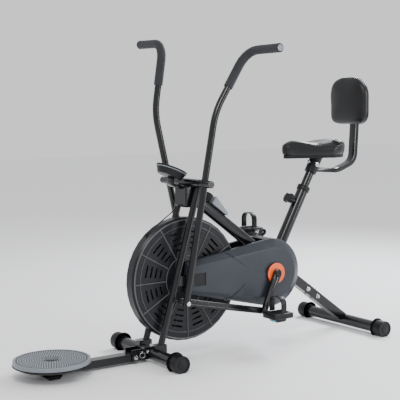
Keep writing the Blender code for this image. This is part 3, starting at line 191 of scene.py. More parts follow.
def smooth(obj, angle=35.0):
    take(obj)
    bpy.ops.object.shade_smooth_by_angle(angle=math.radians(angle))
    return obj


def cut(obj, tool):
    applied(obj, "BOOLEAN", operation="DIFFERENCE", solver="EXACT", object=tool, material_mode="TRANSFER")
    bpy.data.objects.remove(tool, do_unlink=True)
    return obj


def copied(obj, matrix):
    twin = bpy.data.objects.new(obj.name, obj.data.copy())
    bpy.context.scene.collection.objects.link(twin)
    return settle(twin, matrix)


def spread(obj, places):
    """Copies of a piece at each place, with the first piece itself used for the first."""
    twins = [copied(obj, place) for place in places[1:]]
    return [settle(obj, places[0])] + twins


def joined(pieces, name):
    clear_selection()
    for piece in pieces:
        piece.select_set(True)
    bpy.context.view_layer.objects.active = pieces[0]
    if len(pieces) > 1:
        bpy.ops.object.join()
    pieces[0].name = name
    pieces[0].data.name = name
    return pieces[0]


def facing(direction):
    """The turn that takes local Z to a direction."""
    return UP.rotation_difference(Vector(direction)).to_matrix().to_4x4()


def at(place, direction=UP):
    return Matrix.Translation(Vector(place)) @ facing(direction)


def paint(obj, material):
    obj.data.materials.clear()
    obj.data.materials.append(material)
    return obj


def keep(obj, body, material=None, replaced=()):
    if material:
        paint(obj, material)
    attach(obj, body)
    if replaced:
        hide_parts(*replaced)
    return obj


def body_of(node):
    for body, nodes in frame["record"]["behaviour"]["bodies"].items():
        if node in nodes:
            return body


# ---- shader groups ---------------------------------------------------------------------------
def new_group(name, inputs, outputs):
    group = bpy.data.node_groups.new(name, "ShaderNodeTree")
    for label, kind, value in inputs:
        socket = group.interface.new_socket(label, in_out="INPUT", socket_type=kind)
        if value is not None:
            socket.default_value = value
    for label, kind in outputs:
        group.interface.new_socket(label, in_out="OUTPUT", socket_type=kind)
    start = group.nodes.new("NodeGroupInput")
    end = group.nodes.new("NodeGroupOutput")
    return group, start, end


def smudge_group():
    """Broad soft patches, for handling marks and uneven gloss."""
    group, start, end = new_group(
        "smudges",
        [("Vector", "NodeSocketVector", None), ("Scale", "NodeSocketFloat", 9.0)],
        [("Mask", "NodeSocketFloat")])
    noise = group.nodes.new("ShaderNodeTexNoise")
    noise.inputs["Detail"].default_value = 5.0
    noise.inputs["Roughness"].default_value = 0.62
    spread = group.nodes.new("ShaderNodeMapRange")
    spread.inputs["From Min"].default_value = 0.36
    spread.inputs["From Max"].default_value = 0.70
    group.links.new(start.outputs["Vector"], noise.inputs["Vector"])
    group.links.new(start.outputs["Scale"], noise.inputs["Scale"])
    group.links.new(noise.outputs["Fac"], spread.inputs["Value"])
    group.links.new(spread.outputs["Result"], end.inputs["Mask"])
    return group


def grain_group():
    """A pebbled height, from pores of one size broken up by finer noise."""
    group, start, end = new_group(
        "grain",
        [("Vector", "NodeSocketVector", None), ("Scale", "NodeSocketFloat", 600.0),
         ("Pores", "NodeSocketFloat", 0.5)],
        [("Height", "NodeSocketFloat")])
    cells = group.nodes.new("ShaderNodeTexVoronoi")
    cells.feature = "SMOOTH_F1"
    noise = group.nodes.new("ShaderNodeTexNoise")
    noise.inputs["Detail"].default_value = 3.0
    mix = group.nodes.new("ShaderNodeMix")
    mix.data_type = "FLOAT"
    for texture in (cells, noise):
        group.links.new(start.outputs["Vector"], texture.inputs["Vector"])
        group.links.new(start.outputs["Scale"], texture.inputs["Scale"])
    group.links.new(start.outputs["Pores"], mix.inputs["Factor"])
    group.links.new(noise.outputs["Fac"], mix.inputs["A"])
    group.links.new(cells.outputs["Distance"], mix.inputs["B"])
    group.links.new(mix.outputs["Result"], end.inputs["Height"])
    return group


SMUDGES = smudge_group()
GRAIN = grain_group()


def finish_of(name, colour, worn, rough, grain, depth, pores=0.3, metallic=0.0, coat=0.0, smudge=9.0,
              sheen=0.0, shine=0.5):
    """A surface: its colour and its handled colour, a range of roughness, and its grain."""
    material = bpy.data.materials.new(name)
    material.use_nodes = True
    nodes, links = material.node_tree.nodes, material.node_tree.links
    shader = nodes["Principled BSDF"]
    shader.inputs["Metallic"].default_value = metallic
    shader.inputs["Coat Weight"].default_value = coat
    shader.inputs["Coat Roughness"].default_value = 0.08
    shader.inputs["Sheen Weight"].default_value = sheen
    shader.inputs["Specular IOR Level"].default_value = shine
    place = nodes.new("ShaderNodeTexCoord")
    patches = nodes.new("ShaderNodeGroup")
    patches.node_tree = SMUDGES
    patches.inputs["Scale"].default_value = smudge
    texture = nodes.new("ShaderNodeGroup")
    texture.node_tree = GRAIN
    texture.inputs["Scale"].default_value = grain
    texture.inputs["Pores"].default_value = pores
    blend = nodes.new("ShaderNodeMix")
    blend.data_type = "RGBA"
    blend.inputs["A"].default_value = (*colour, 1.0)
    blend.inputs["B"].default_value = (*worn, 1.0)
    gloss = nodes.new("ShaderNodeMapRange")
    gloss.inputs["To Min"].default_value = rough[0]
    gloss.inputs["To Max"].default_value = rough[1]
    bump = nodes.new("ShaderNodeBump")
    bump.inputs["Strength"].default_value = 0.6
    bump.inputs["Distance"].default_value = depth
    links.new(place.outputs["Object"], patches.inputs["Vector"])
    links.new(place.outputs["Object"], texture.inputs["Vector"])
    links.new(patches.outputs["Mask"], blend.inputs["Factor"])
    links.new(patches.outputs["Mask"], gloss.inputs["Value"])
    links.new(texture.outputs["Height"], bump.inputs["Height"])
    links.new(blend.outputs["Result"], shader.inputs["Base Color"])
    links.new(gloss.outputs["Result"], shader.inputs["Roughness"])
    links.new(bump.outputs["Normal"], shader.inputs["Normal"])
    return material


ENAMEL = finish_of("enamel", (0.004, 0.0042, 0.005), (0.007, 0.0074, 0.009), (0.16, 0.26), 900, 0.00006,
                   coat=0.12, shine=0.34)
BLACK = finish_of("moulded_black", (0.006, 0.006, 0.007), (0.011, 0.011, 0.012), (0.36, 0.50), 1500, 0.00018,
                  pores=0.6, shine=0.24)
# painted shade: the chain covers' grooves take this darker slate on their cut faces, for the shade that falls in
# them
GROOVE_PAINTED_SHADE = finish_of("groove_painted_shade", (0.014, 0.015, 0.018), (0.020, 0.021, 0.024), (0.36, 0.46), 1600,
                         0.00012)
DRUM = finish_of("drum_black", (0.006, 0.006, 0.008), (0.011, 0.011, 0.014), (0.30, 0.42), 1300, 0.00014,
                 pores=0.5, shine=0.24)
# painted highlight: the drum's ribs and rings take a grey far lighter than the drum, for the light their edges
# catch
DRUM_RIB_PAINTED_HIGHLIGHT = finish_of("drum_rib_painted_highlight", (0.060, 0.062, 0.068), (0.085, 0.087, 0.094), (0.24, 0.36), 1300, 0.00006)
SLATE = finish_of("moulded_slate", (0.022, 0.026, 0.034), (0.029, 0.033, 0.043), (0.30, 0.42), 1600, 0.00016,
                  pores=0.6, shine=0.30)
GREY = finish_of("moulded_grey", (0.165, 0.185, 0.210), (0.205, 0.225, 0.250), (0.36, 0.50), 1400, 0.00016,
                 pores=0.6)
ORANGE = finish_of("orange_plastic", (0.86, 0.105, 0.012), (0.90, 0.140, 0.024), (0.26, 0.36), 1500, 0.00006)
STEEL = finish_of("plated_steel", (0.62, 0.62, 0.64), (0.52, 0.52, 0.54), (0.14, 0.26), 1200, 0.00004,
                  metallic=1.0)
FOAM = finish_of("grip_foam", (0.020, 0.021, 0.024), (0.030, 0.032, 0.036), (0.72, 0.84), 950, 0.00042,
                 pores=0.8, sheen=0.08, shine=0.25)
VINYL = finish_of("vinyl", (0.004, 0.004, 0.0045), (0.007, 0.007, 0.008), (0.34, 0.44), 620, 0.00022,
                  pores=0.85, shine=0.34)
RUBBER = finish_of("belt_rubber", (0.014, 0.014, 0.014), (0.024, 0.024, 0.024), (0.62, 0.74), 1200, 0.00020)
REFLECTOR = finish_of("blue_reflector", (0.05, 0.42, 0.55), (0.08, 0.50, 0.62), (0.10, 0.16), 420, 0.00030,
                      pores=1.0)
SCREEN = finish_of("display_window", (0.16, 0.19, 0.17), (0.18, 0.21, 0.19), (0.08, 0.12), 1500, 0.00002,
                   coat=0.8)
PALE = finish_of("pale_plug", (0.55, 0.56, 0.58), (0.48, 0.49, 0.51), (0.34, 0.44), 1400, 0.00008)

FINISHES = {
    "black_enamel": ENAMEL, "black_plastic": BLACK, "slate_plastic": SLATE, "grey_plastic": GREY,
    "orange_plastic": ORANGE, "steel": STEEL, "foam": FOAM, "vinyl": VINYL, "belt_rubber": RUBBER,
}
SLOTS = {part["node"]: part["material_slot"] for part in frame["record"]["subparts"]}


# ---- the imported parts, with their edges eased ------------------------------------------------
def eased(node, edge, material=None, angle=40.0, segments=2):
    """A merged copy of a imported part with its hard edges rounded, which stands for that part."""
    obj = bpy.data.objects.new(node + "_body", frame["nodes"][node].data.copy())
    bpy.context.scene.collection.objects.link(obj)
    take(obj)
    bpy.ops.mesh.customdata_custom_splitnormals_clear()
    edit_all(obj)
    bpy.ops.mesh.remove_doubles(threshold=0.00002)
    bpy.ops.mesh.dissolve_limited(angle_limit=math.radians(0.5))
    close_edit()
    if edge:
        rounded(obj, edge, segments, angle)
    smooth(obj)
    return keep(obj, body_of(node), material or FINISHES[SLOTS[node]], (node,))


EDGES = {
    "top_tube": 0.0, "seat_tube": 0.0, "seat_post": 0.0, "front_foot_tube": 0.0, "rear_foot_tube": 0.0,
    "handlebar_left": 0.0, "handlebar_right": 0.0, "fork_leg_left": 0.0, "fork_leg_right": 0.0,
    "grip_left": 0.0, "grip_right": 0.0, "brake_cable": 0.0, "fan_wheel": 0.0, "drive_belt": 0.0,
    "fan_pulley": 0.0, "drive_pulley": 0.0, "fan_axle": 0.0, "pivot_shaft": 0.0, "crank_spindle": 0.0,
    "bottom_bracket_shell": 0.0, "pedal_axle_left": 0.0, "pedal_axle_right": 0.0,
    "link_bolt_left": 0.0006, "link_bolt_right": 0.0006, "twister_bolt": 0.0006,
    "link_rod_left": 0.0010, "link_rod_right": 0.0010, "crank_arm_left": 0.0022,
    "crank_arm_right": 0.0022, "rear_leg": 0.0, "head_bracket": 0.0, "seat_collar": 0.0008,
    "cover_spine": 0.0, "twister_arm": 0.0, "twister_bracket": 0.0, "backrest_bar": 0.0030,
    "console_bracket": 0.0015, "tension_housing": 0.0, "pedal_strap_left": 0.0007,
    "pedal_strap_right": 0.0007, "seat_base": 0.0020,
}


def ease_parts():
    for node, edge in EDGES.items():
        eased(node, edge)


# ---- chain covers ----------------------------------------------------------------------------
def hull_of(pieces, name):
    obj = joined(pieces, name)
    edit_all(obj)
    bpy.ops.mesh.convex_hull()
    bpy.ops.mesh.dissolve_limited(angle_limit=math.radians(0.5))
    close_edit()
    return obj


def cover_blank(shrink, name):
    """The cover as a solid: a drum about the crank drawn out to a narrow front, with a sloped shoulder."""
    depth = COVER_SHOULDER_Y - COVER_INNER_Y
    middle_y = (COVER_SHOULDER_Y + COVER_INNER_Y) / 2
    flat_y = COVER_OUTER_Y - shrink
    flat_half = 0.001
    pieces = []
    for radius, y, thick in ((COVER_R - shrink, middle_y, depth), (COVER_FLAT_R - shrink, flat_y - flat_half,
                                                                   2 * flat_half)):
        disc = add("cylinder", "disc", vertices=96, radius=radius, depth=thick)
        pieces.append(settle(disc, at((CRANK.x, y, CRANK.z), (0, 1, 0))))
    for heights, y, thick in ((COVER_FRONT_Z, middle_y, depth), (COVER_FRONT_FLAT_Z, flat_y - flat_half,
                                                                 2 * flat_half)):
        low, high = heights[0] + shrink, heights[1] - shrink
        block = add("cube", "front", size=1.0)
        block.scale = (0.004, thick, high - low)
        middle = (COVER_FRONT_X + shrink + 0.002, y, (low + high) / 2)
        pieces.append(settle(block, Matrix.Translation(middle)))
    return hull_of(pieces, name)


def block_tool(low, high, material):
    tool = add("cube", "tool", size=1.0)
    tool.scale = tuple(b - a for a, b in zip(low, high))
    settle(tool, Matrix.Translation([(a + b) / 2 for a, b in zip(low, high)]))
    return paint(tool, material)


def chain_cover(side, word):
    shell = paint(cover_blank(0.0, "chain_cover_" + word + "_shell"), SLATE)
    cut(shell, paint(cover_blank(COVER_WALL, "inside"), BLACK))
    cut(shell, block_tool((COVER_FRONT_X - 0.05, -0.01, 0.0), (0.6, COVER_INNER_Y + COVER_WALL + 0.0004, 0.6),
                          BLACK))
    bore = add("cylinder", "bore", vertices=40, radius=COVER_BORE_R, depth=0.2)
    cut(shell, paint(settle(bore, at((CRANK.x, 0.06, CRANK.z), (0, 1, 0))), BLACK))
    rounded(shell, 0.0035, 3, 24.0)
    # the groove cutters leave a darker slate on the grooves' faces as painted shade
    tools = [groove_tool(shell, corners) for corners in (UPPER_GROOVE, LOWER_GROOVE)]
    # painted shade: the recess's faces take the black of its cutter, for the shade inside it
    tools.append(block_tool((RECESS_X[0], COVER_OUTER_Y - RECESS_DEPTH, RECESS_Z[0]),
                            (RECESS_X[1], COVER_OUTER_Y + 0.01, RECESS_Z[1]), BLACK))
    for tool in tools:
        cut(shell, tool)
    low = (COVER_FRONT_X - 0.023, 0.0, FAN.z - 0.023)
    cut(shell, block_tool(low, (COVER_FRONT_X + 0.023, 0.0602, FAN.z + 0.023), BLACK))
    if side < 0:
        flip(shell)
    smooth(shell, 30)
    keep(shell, "frame", replaced=("chain_cover_" + word,))


def flip(obj):
    """The same piece on the machine's other side."""
    settle(obj, Matrix.Diagonal((1, -1, 1, 1)))
    edit_all(obj)
    bpy.ops.mesh.normals_make_consistent(inside=False)
    close_edit()
    return obj


def groove_tool(shell, corners):
    """A blade-shaped cutter whose inner side runs just under the cover's own surface."""
    tool = add("cylinder", "tool", vertices=3, radius=0.01, depth=0.06)
    settle(tool, facing((0, 1, 0)))
    ends = {}
    for vertex in tool.data.vertices:
        ends.setdefault(vertex.co.y > 0, []).append(vertex)
    for ring in ends.values():
        ring.sort(key=lambda vertex: math.atan2(vertex.co.z, vertex.co.x))
        for vertex, (x, z) in zip(ring, corners):
            vertex.co.x, vertex.co.z = x, z
    edit_faces(tool, lambda centre, normal: abs(normal.y) > 0.9)
    bpy.ops.mesh.quads_convert_to_tris()
    bpy.ops.mesh.subdivide(number_cuts=GROOVE_CUTS)
    bpy.ops.mesh.select_all(action="SELECT")
    bpy.ops.mesh.normals_make_consistent(inside=False)
    close_edit()
    for vertex in tool.data.vertices:
        if vertex.co.y < 0:
            hit, place, _, _ = shell.ray_cast((vertex.co.x, 0.2, vertex.co.z), (0, -1, 0))
            surface = place.y if hit else COVER_SHOULDER_Y
            vertex.co.y = surface - GROOVE_DEPTH
        else:
            vertex.co.y = COVER_OUTER_Y + 0.01
    # the cutter's darker slate passes to the groove's faces as painted shade
    return paint(tool, GROOVE_PAINTED_SHADE)


# ---- fan drum --------------------------------------------------------------------------------
def fan_drum(side, word):
    eased("fan_cover_" + word, 0.0, DRUM)
    rib = add("cube", "rib", size=1.0)
    rib.scale = (DRUM_EDGE_R - RIB_START_R, RIB_RISE, RIB_WIDTH)
    settle(rib)
    edit_faces(rib, lambda centre, normal: normal.y > 0.9)
    bpy.ops.transform.resize(value=RIB_TAPER)
    close_edit()
    rounded(rib, 0.0005, 2, 40)
    face = Matrix.Translation((FAN.x, DRUM_FACE_Y + RIB_RISE / 2, FAN.z))
    reach = Matrix.Translation(((RIB_START_R + DRUM_EDGE_R) / 2, 0, 0))
    turns = [Matrix.Rotation(2 * math.pi * index / RIBS, 4, "Y") for index in range(RIBS)]
    ribs = spread(rib, [face @ turn @ reach for turn in turns])
    for major, minor, out in ((0.2450, 0.0030, DRUM_FACE_Y - 0.0005), (0.0980, 0.0016, DRUM_FACE_Y + 0.0002),
                              (0.2190, 0.0012, DRUM_FACE_Y + 0.0002)):
        ring = add("torus", "ring", major_radius=major, minor_radius=minor, major_segments=96,
                   minor_segments=10)
        ribs.append(settle(ring, at((FAN.x, out, FAN.z), (0, 1, 0))))
    # painted highlight: a light grey on the ribs and rings in place of the drum's black
    for rib in ribs:
        paint(rib, DRUM_RIB_PAINTED_HIGHLIGHT)
    piece = joined(ribs, "drum_ribs_" + word)
    if side < 0:
        flip(piece)
    smooth(piece, 40)
    keep(piece, "frame")


# ---- upholstery ------------------------------------------------------------------------------
def pad_blank(node, name):
    """A merged copy of a pad's plain solid, ready to be shaped."""
    obj = bpy.data.objects.new(name, frame["nodes"][node].data.copy())
    bpy.context.scene.collection.objects.link(obj)
    take(obj)
    bpy.ops.mesh.customdata_custom_splitnormals_clear()
    edit_all(obj)
    bpy.ops.mesh.remove_doubles(threshold=0.00002)
    close_edit()
    return applied(obj, "REMESH", mode="VOXEL", voxel_size=SADDLE_VOXEL)


def shape_saddle(obj):
    """Raise the rear, dip the middle, thin the nose from below and crown the top from side to side."""
    low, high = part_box("seat_pad")
    length, height = high[0] - low[0], high[2] - low[2]
    for vertex in obj.data.vertices:
        along = (vertex.co.x - low[0]) / length
        up = (vertex.co.z - low[2]) / height
        width = 0.030 + 0.088 * min(max((along - 0.05) / 0.62, 0.0), 1.0)
        across = min(abs(vertex.co.y) / width, 1.25)
        crown = 0.30 * across ** 2
        dip = 0.20 * math.exp(-((along - 0.47) / 0.20) ** 2)
        nose = 0.16 * math.exp(-(along / 0.10) ** 2)
        top = 0.97 - crown * (0.35 + 0.65 * along) - dip - nose
        lift = 0.12 * max(0.0, 1.0 - along / 0.26) ** 1.5
        vertex.co.z = low[2] + height * (lift + up * (top - lift))
        tuck = 1.0 - 0.06 * (1.0 - up) ** 2
        vertex.co.y *= tuck


def shape_back(obj):
    """Bow the cushion's face and thin it towards its rim."""
    low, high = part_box("backrest_pad")
    thick = high[0] - low[0]
    middle_y, middle_z = (low[1] + high[1]) / 2, (low[2] + high[2]) / 2
    for vertex in obj.data.vertices:
        across = abs(vertex.co.y - middle_y) / (high[1] - middle_y)
        up = abs(vertex.co.z - middle_z) / (high[2] - middle_z)
        rim = min(max(across ** 2.4, up ** 2.4), 1.0)
        share = (high[0] - vertex.co.x) / thick
        vertex.co.x = high[0] - thick * share * (1.0 - 0.36 * rim)


def inflate(obj, cap):
    """Swell a pad with cloth under pressure, and stop each point within the cap."""
    rest = [vertex.co.copy() for vertex in obj.data.vertices]
    take(obj)
    cloth = obj.modifiers.new("swell", "CLOTH")
    cloth.settings.use_pressure = True
    cloth.settings.uniform_pressure_force = 4.0
    cloth.settings.effector_weights.gravity = 0.0
    cloth.settings.quality = 4
    cloth.point_cache.frame_start = 1
    cloth.point_cache.frame_end = 20
    for step in range(1, 21):
        bpy.context.scene.frame_set(step)
    bpy.ops.object.modifier_apply(modifier=cloth.name)
    bpy.context.scene.frame_set(1)
    for vertex, start in zip(obj.data.vertices, rest):
        move = vertex.co - start
        if move.length > cap:
            vertex.co = start + move.normalized() * cap


def fill_box(obj, node, drop):
    """Stretch a smoothed cushion back out to the room its plain solid has, and down by a drop."""
    low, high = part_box(node)
    low = (low[0], low[1], low[2] - drop)
    points = [vertex.co for vertex in obj.data.vertices]
    for axis in range(3):
        start = min(point[axis] for point in points)
        end = max(point[axis] for point in points)
        share = (high[axis] - low[axis]) / (end - start)
        for point in points:
            point[axis] = low[axis] + (point[axis] - start) * share


def upholster(node, name, shaper, cap, keep_out, drop=0.0):
    obj = pad_blank(node, name)
    shaper(obj)
    applied(obj, "SMOOTH", factor=0.6, iterations=10)
    inflate(obj, cap)
    applied(obj, "SMOOTH", factor=0.7, iterations=26)
    fill_box(obj, node, drop)
    for vertex in obj.data.vertices:
        keep_out(vertex)
    applied(obj, "SUBSURF", levels=1, render_levels=1)
    take(obj)
    bpy.ops.object.shade_smooth()
    keep(obj, "seat", VINYL, (node,))
    return obj


def welt_along(pad, name, level, axis, radius):
    """A sewn piping that follows a pad's side at one level."""
    loop = copied(pad, Matrix.Identity(4))
    place = [0.0, 0.0, 0.0]
    place[axis] = level
    normal = [0.0, 0.0, 0.0]
    normal[axis] = 1.0
    edit_all(loop)
    bpy.ops.mesh.bisect(plane_co=place, plane_no=normal, clear_inner=True, clear_outer=True)
    close_edit()
    loop = applied(loop, "WELD", merge_threshold=0.0004)
    take(loop)
    bpy.ops.object.convert(target="CURVE")
    loop = bpy.context.object
    loop.data.bevel_depth = radius
    loop.data.bevel_resolution = 3
    bpy.ops.object.convert(target="MESH")
    loop = bpy.context.object
    loop.name = name
    loop.data.name = name
    edit_all(loop)
    bpy.ops.mesh.remove_doubles(threshold=0.00001)
    bpy.ops.mesh.normals_make_consistent(inside=False)
    close_edit()
    take(loop)
    bpy.ops.object.shade_smooth()
    return keep(loop, "seat", VINYL)


def upholstery():
    seat_low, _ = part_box("seat_pad")
    _, back_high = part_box("backrest_pad")
    floor_z = seat_low[2] - SADDLE_WRAP
    wall_x = back_high[0] - PAD_ROOM

    def above_pan(vertex):
        vertex.co.z = max(vertex.co.z, floor_z)

    def before_bar(vertex):
        vertex.co.x = min(vertex.co.x, wall_x)

    upholster("seat_pad", "saddle_cushion", shape_saddle, SADDLE_CAP, above_pan, SADDLE_WRAP + 0.003)
    back = upholster("backrest_pad", "back_cushion", shape_back, BACK_CAP, before_bar)
    welt_along(back, "back_welt", back_high[0] - 0.016, 0, 0.0014)


# ---- feet, grips, knobs and small fittings ---------------------------------------------------
def foot_cap(node, side):
    """A ribbed rubber end cap with a sunk disc in its end, standing on a flat."""
    low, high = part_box(node)
    radius = (high[0] - low[0]) / 2
    middle_x = (low[0] + high[0]) / 2
    length = high[1] - low[1]
    middle_y = (low[1] + high[1]) / 2
    centre = (middle_x, middle_y, radius - 0.002)
    cap = add("cylinder", node + "_cap", vertices=72, radius=radius, depth=length)
    edit_faces(cap, lambda face, normal: abs(normal.z) < 0.5 and
               int(math.degrees(math.atan2(face.y, face.x)) // 5) % 2 == 0)
    bpy.ops.mesh.inset(thickness=0.0011, use_individual=True)
    bpy.ops.mesh.extrude_region_shrink_fatten(TRANSFORM_OT_shrink_fatten={"value": -0.0012})
    close_edit()
    edit_faces(cap, lambda face, normal: normal.z > 0.9)
    bpy.ops.mesh.inset(thickness=0.006)
    bpy.ops.mesh.extrude_region_shrink_fatten(TRANSFORM_OT_shrink_fatten={"value": -0.0025})
    bpy.ops.mesh.inset(thickness=0.012)
    bpy.ops.mesh.extrude_region_shrink_fatten(TRANSFORM_OT_shrink_fatten={"value": 0.0018})
    close_edit()
    rounded(cap, 0.0006, 2, 50)
    settle(cap, at(centre, (0, side, 0)))
    bore_y = middle_y - side * 0.010
    bore = add("cylinder", "bore", vertices=48, radius=0.0253, depth=length)
    cut(cap, settle(bore, at((middle_x, bore_y, centre[2]), (0, side, 0))))
    edit_all(cap)
    bpy.ops.mesh.bisect(plane_co=(0, 0, 0.0), plane_no=(0, 0, 1), use_fill=True, clear_inner=True)
    close_edit()
    smooth(cap, 35)
    keep(cap, "frame", BLACK, (node,))


def grip_plug(side, word):
    """The pale plug in the grip's open end, inside a rolled lip."""
    node = "grip_" + word
    low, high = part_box(node)
    end_y = high[1] if side > 0 else low[1]
    tip = [vertex.co for vertex in frame["nodes"][node].data.vertices if abs(vertex.co.y - end_y) < 0.0025]
    centre = sum(tip, Vector()) / len(tip)
    centre.y = end_y
    ring = add("torus", "lip", major_radius=0.0158, minor_radius=0.0029, major_segments=40, minor_segments=12)
    settle(ring, at(centre - Vector((0, side * 0.0014, 0)), (0, side, 0)))
    smooth(ring)
    keep(joined([ring], "grip_lip_" + word), "handle_" + word, FOAM)
    plug = add("cylinder", "plug", vertices=36, radius=0.0128, depth=0.004)
    edit_faces(plug, lambda face, normal: normal.z > 0.9)
    bpy.ops.mesh.inset(thickness=0.004)
    bpy.ops.mesh.extrude_region_shrink_fatten(TRANSFORM_OT_shrink_fatten={"value": -0.0014})
    close_edit()
    rounded(plug, 0.0006, 2, 40)
    settle(plug, at(centre - Vector((0, side * 0.0012, 0)), (0, side, 0)))
    smooth(plug)
    keep(joined([plug], "grip_plug_" + word), "handle_" + word, PALE)


def lobed_knob():
    """The six-lobed grip of the saddle's height pin."""
    axis = SLIDES["height_knob_pull"]
    low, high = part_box("height_knob")
    box_middle = (Vector(low) + Vector(high)) / 2
    points = [vertex.co for vertex in frame["nodes"]["height_knob"].data.vertices]
    reach = [point.dot(axis) for point in points]
    top = max(reach)
    line = sum((p for p in points if p.dot(axis) > top - 0.0005), Vector())
    count = len([p for p in points if p.dot(axis) > top - 0.0005])
    centre = line / count
    centre.y = box_middle.y
    thick = 0.020
    knob = add("cylinder", "height_knob_grip", vertices=12, radius=0.0195, depth=thick)
    edit_faces(knob, lambda face, normal: abs(normal.z) < 0.5 and
               int(round(math.degrees(math.atan2(normal.y, normal.x)) / 30)) % 2 == 0)
    bpy.ops.mesh.extrude_faces_move(TRANSFORM_OT_shrink_fatten={"value": 0.0065})
    close_edit()
    edit_faces(knob, lambda face, normal: normal.z > 0.9)
    bpy.ops.mesh.inset(thickness=0.006)
    bpy.ops.mesh.extrude_region_shrink_fatten(TRANSFORM_OT_shrink_fatten={"value": 0.002})
    close_edit()
    rounded(knob, 0.0015, 2, 40)
    applied(knob, "SUBSURF", levels=1, render_levels=1)
    settle(knob, at(centre - axis * thick / 2, axis))
    pin = add("cylinder", "pin", vertices=24, radius=0.0048, depth=0.030)
    rounded(pin, 0.0008, 2, 40)
    settle(pin, at(centre - axis * (thick + 0.0135), axis))
    paint(knob, BLACK)
    paint(pin, STEEL)
    whole = joined([knob, pin], "height_knob_grip")
    smooth(whole, 40)
    keep(whole, "height_knob", replaced=("height_knob",))


def tension_dial():
    """The fluted dial of the brake tension control, with its black cap."""
    axis = SLIDES["tension_knob_turn"]
    base = PLACES["tension_knob_turn"]
    height = 0.0295
    dial = add("cylinder", "tension_dial", vertices=48, radius=0.0168, depth=height)
    edit_faces(dial, lambda face, normal: abs(normal.z) < 0.5 and
               int(math.degrees(math.atan2(face.y, face.x)) // 7.5) % 2 == 0)
    bpy.ops.mesh.inset(thickness=0.0005, use_individual=True)
    bpy.ops.mesh.extrude_region_shrink_fatten(TRANSFORM_OT_shrink_fatten={"value": -0.0010})
    close_edit()
    edit_faces(dial, lambda face, normal: normal.z > 0.9)
    bpy.ops.mesh.inset(thickness=0.004)
    bpy.ops.mesh.extrude_region_shrink_fatten(TRANSFORM_OT_shrink_fatten={"value": -0.0015})
    close_edit()
    rounded(dial, 0.0005, 2, 50)
    settle(dial, at(base + axis * (height / 2 + 0.0002), axis))
    smooth(dial, 35)
    keep(dial, "tension_knob", BLACK, ("tension_knob",))


def crank_trim(side, word):
    """The orange disc with its stepped face, and the dark cap on the spindle's end."""
    low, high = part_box("crank_disc_" + word)
    thick = high[1] - low[1]
    disc = add("cylinder", "crank_disc_" + word + "_face", vertices=72, radius=(high[0] - low[0]) / 2,
               depth=thick)
    edit_faces(disc, lambda face, normal: normal.z > 0.9)
    bpy.ops.mesh.inset(thickness=0.005)
    bpy.ops.mesh.extrude_region_shrink_fatten(TRANSFORM_OT_shrink_fatten={"value": -0.0012})
    close_edit()
    rounded(disc, 0.0010, 3, 40)
    bore = add("cylinder", "bore", vertices=32, radius=0.0084, depth=0.05)
    cut(disc, bore)
    settle(disc, at((CRANK.x, (low[1] + high[1]) / 2, CRANK.z), (0, side, 0)))
    smooth(disc)
    keep(disc, "crank", ORANGE, ("crank_disc_" + word,))
    outer_y = max(abs(corner[1]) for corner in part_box("crank_arm_" + word))
    cap = add("cylinder", "spindle_cap_" + word, vertices=40, radius=0.0150, depth=0.0045)
    edit_faces(cap, lambda face, normal: normal.z > 0.9)
    bpy.ops.mesh.inset(thickness=0.0055)
    bpy.ops.mesh.extrude_region_shrink_fatten(TRANSFORM_OT_shrink_fatten={"value": -0.0015})
    close_edit()
    rounded(cap, 0.0008, 2, 40)
    settle(cap, at((CRANK.x, side * (outer_y + 0.0021), CRANK.z), (0, side, 0)))
    smooth(cap)
    keep(cap, "crank", BLACK)


def pedal(side, word):
    """A pedal with a ribbed tread above and below, its weighted foot and a reflector at each end."""
    low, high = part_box("pedal_" + word)
    centre = (Vector(low) + Vector(high)) / 2
    size = Vector(high) - Vector(low)
    body = add("cube", "pedal_" + word + "_shell", size=1.0)
    body.scale = (size.x, size.y, size.z)
    settle(body)
    rounded(body, 0.0052, 3, 40)
    edit_faces(body, lambda face, normal: abs(normal.z) > 0.99)
    bpy.ops.mesh.inset(thickness=0.005, use_individual=True)
    bpy.ops.mesh.extrude_region_shrink_fatten(TRANSFORM_OT_shrink_fatten={"value": -0.002})
    close_edit()
    settle(body, Matrix.Translation(centre))
    bore = add("cylinder", "bore", vertices=24, radius=0.0073, depth=0.090)
    cut(body, settle(bore, at((centre.x, centre.y - side * 0.010, centre.z), (0, 1, 0))))
    parts = [paint(body, BLACK)]
    bar = paint(add("cube", "tread", size=1.0), BLACK)
    bar.scale = (TREAD_WIDTH, size.y - TREAD_MARGIN, TREAD_RISE)
    rounded(settle(bar), 0.0006, 1, 40)
    rows = [(row - TREAD_ROWS // 2) * TREAD_PITCH for row in range(TREAD_ROWS)]
    levels = [level * (size.z / 2 - TREAD_SINK) for level in (-1, 1)]
    parts += spread(bar, [Matrix.Translation(centre + Vector((x, 0, z))) for z in levels for x in rows])
    weight = add("cube", "weight", size=1.0)
    weight.scale = (0.056, 0.052, 0.016)
    settle(weight)
    edit_faces(weight, lambda face, normal: normal.z < -0.9)
    bpy.ops.transform.resize(value=(0.82, 0.86, 1.0))
    close_edit()
    rounded(weight, 0.002, 2, 30)
    settle(weight, Matrix.Translation(centre - Vector((0, 0, size.z / 2 + WEIGHT_DROP))))
    parts.append(paint(weight, BLACK))
    lens = paint(add("cube", "lens", size=1.0), REFLECTOR)
    lens.scale = LENS_SIZE
    rounded(settle(lens), 0.0008, 2, 40)
    ends = [Vector((end * LENS_REACH, 0, -size.z / 2 - LENS_DROP)) for end in (-1, 1)]
    parts += spread(lens, [Matrix.Translation(centre + end) for end in ends])
    whole = joined(parts, "pedal_" + word + "_shell")
    smooth(whole, 35)
    keep(whole, "pedal_" + word, replaced=("pedal_" + word,))


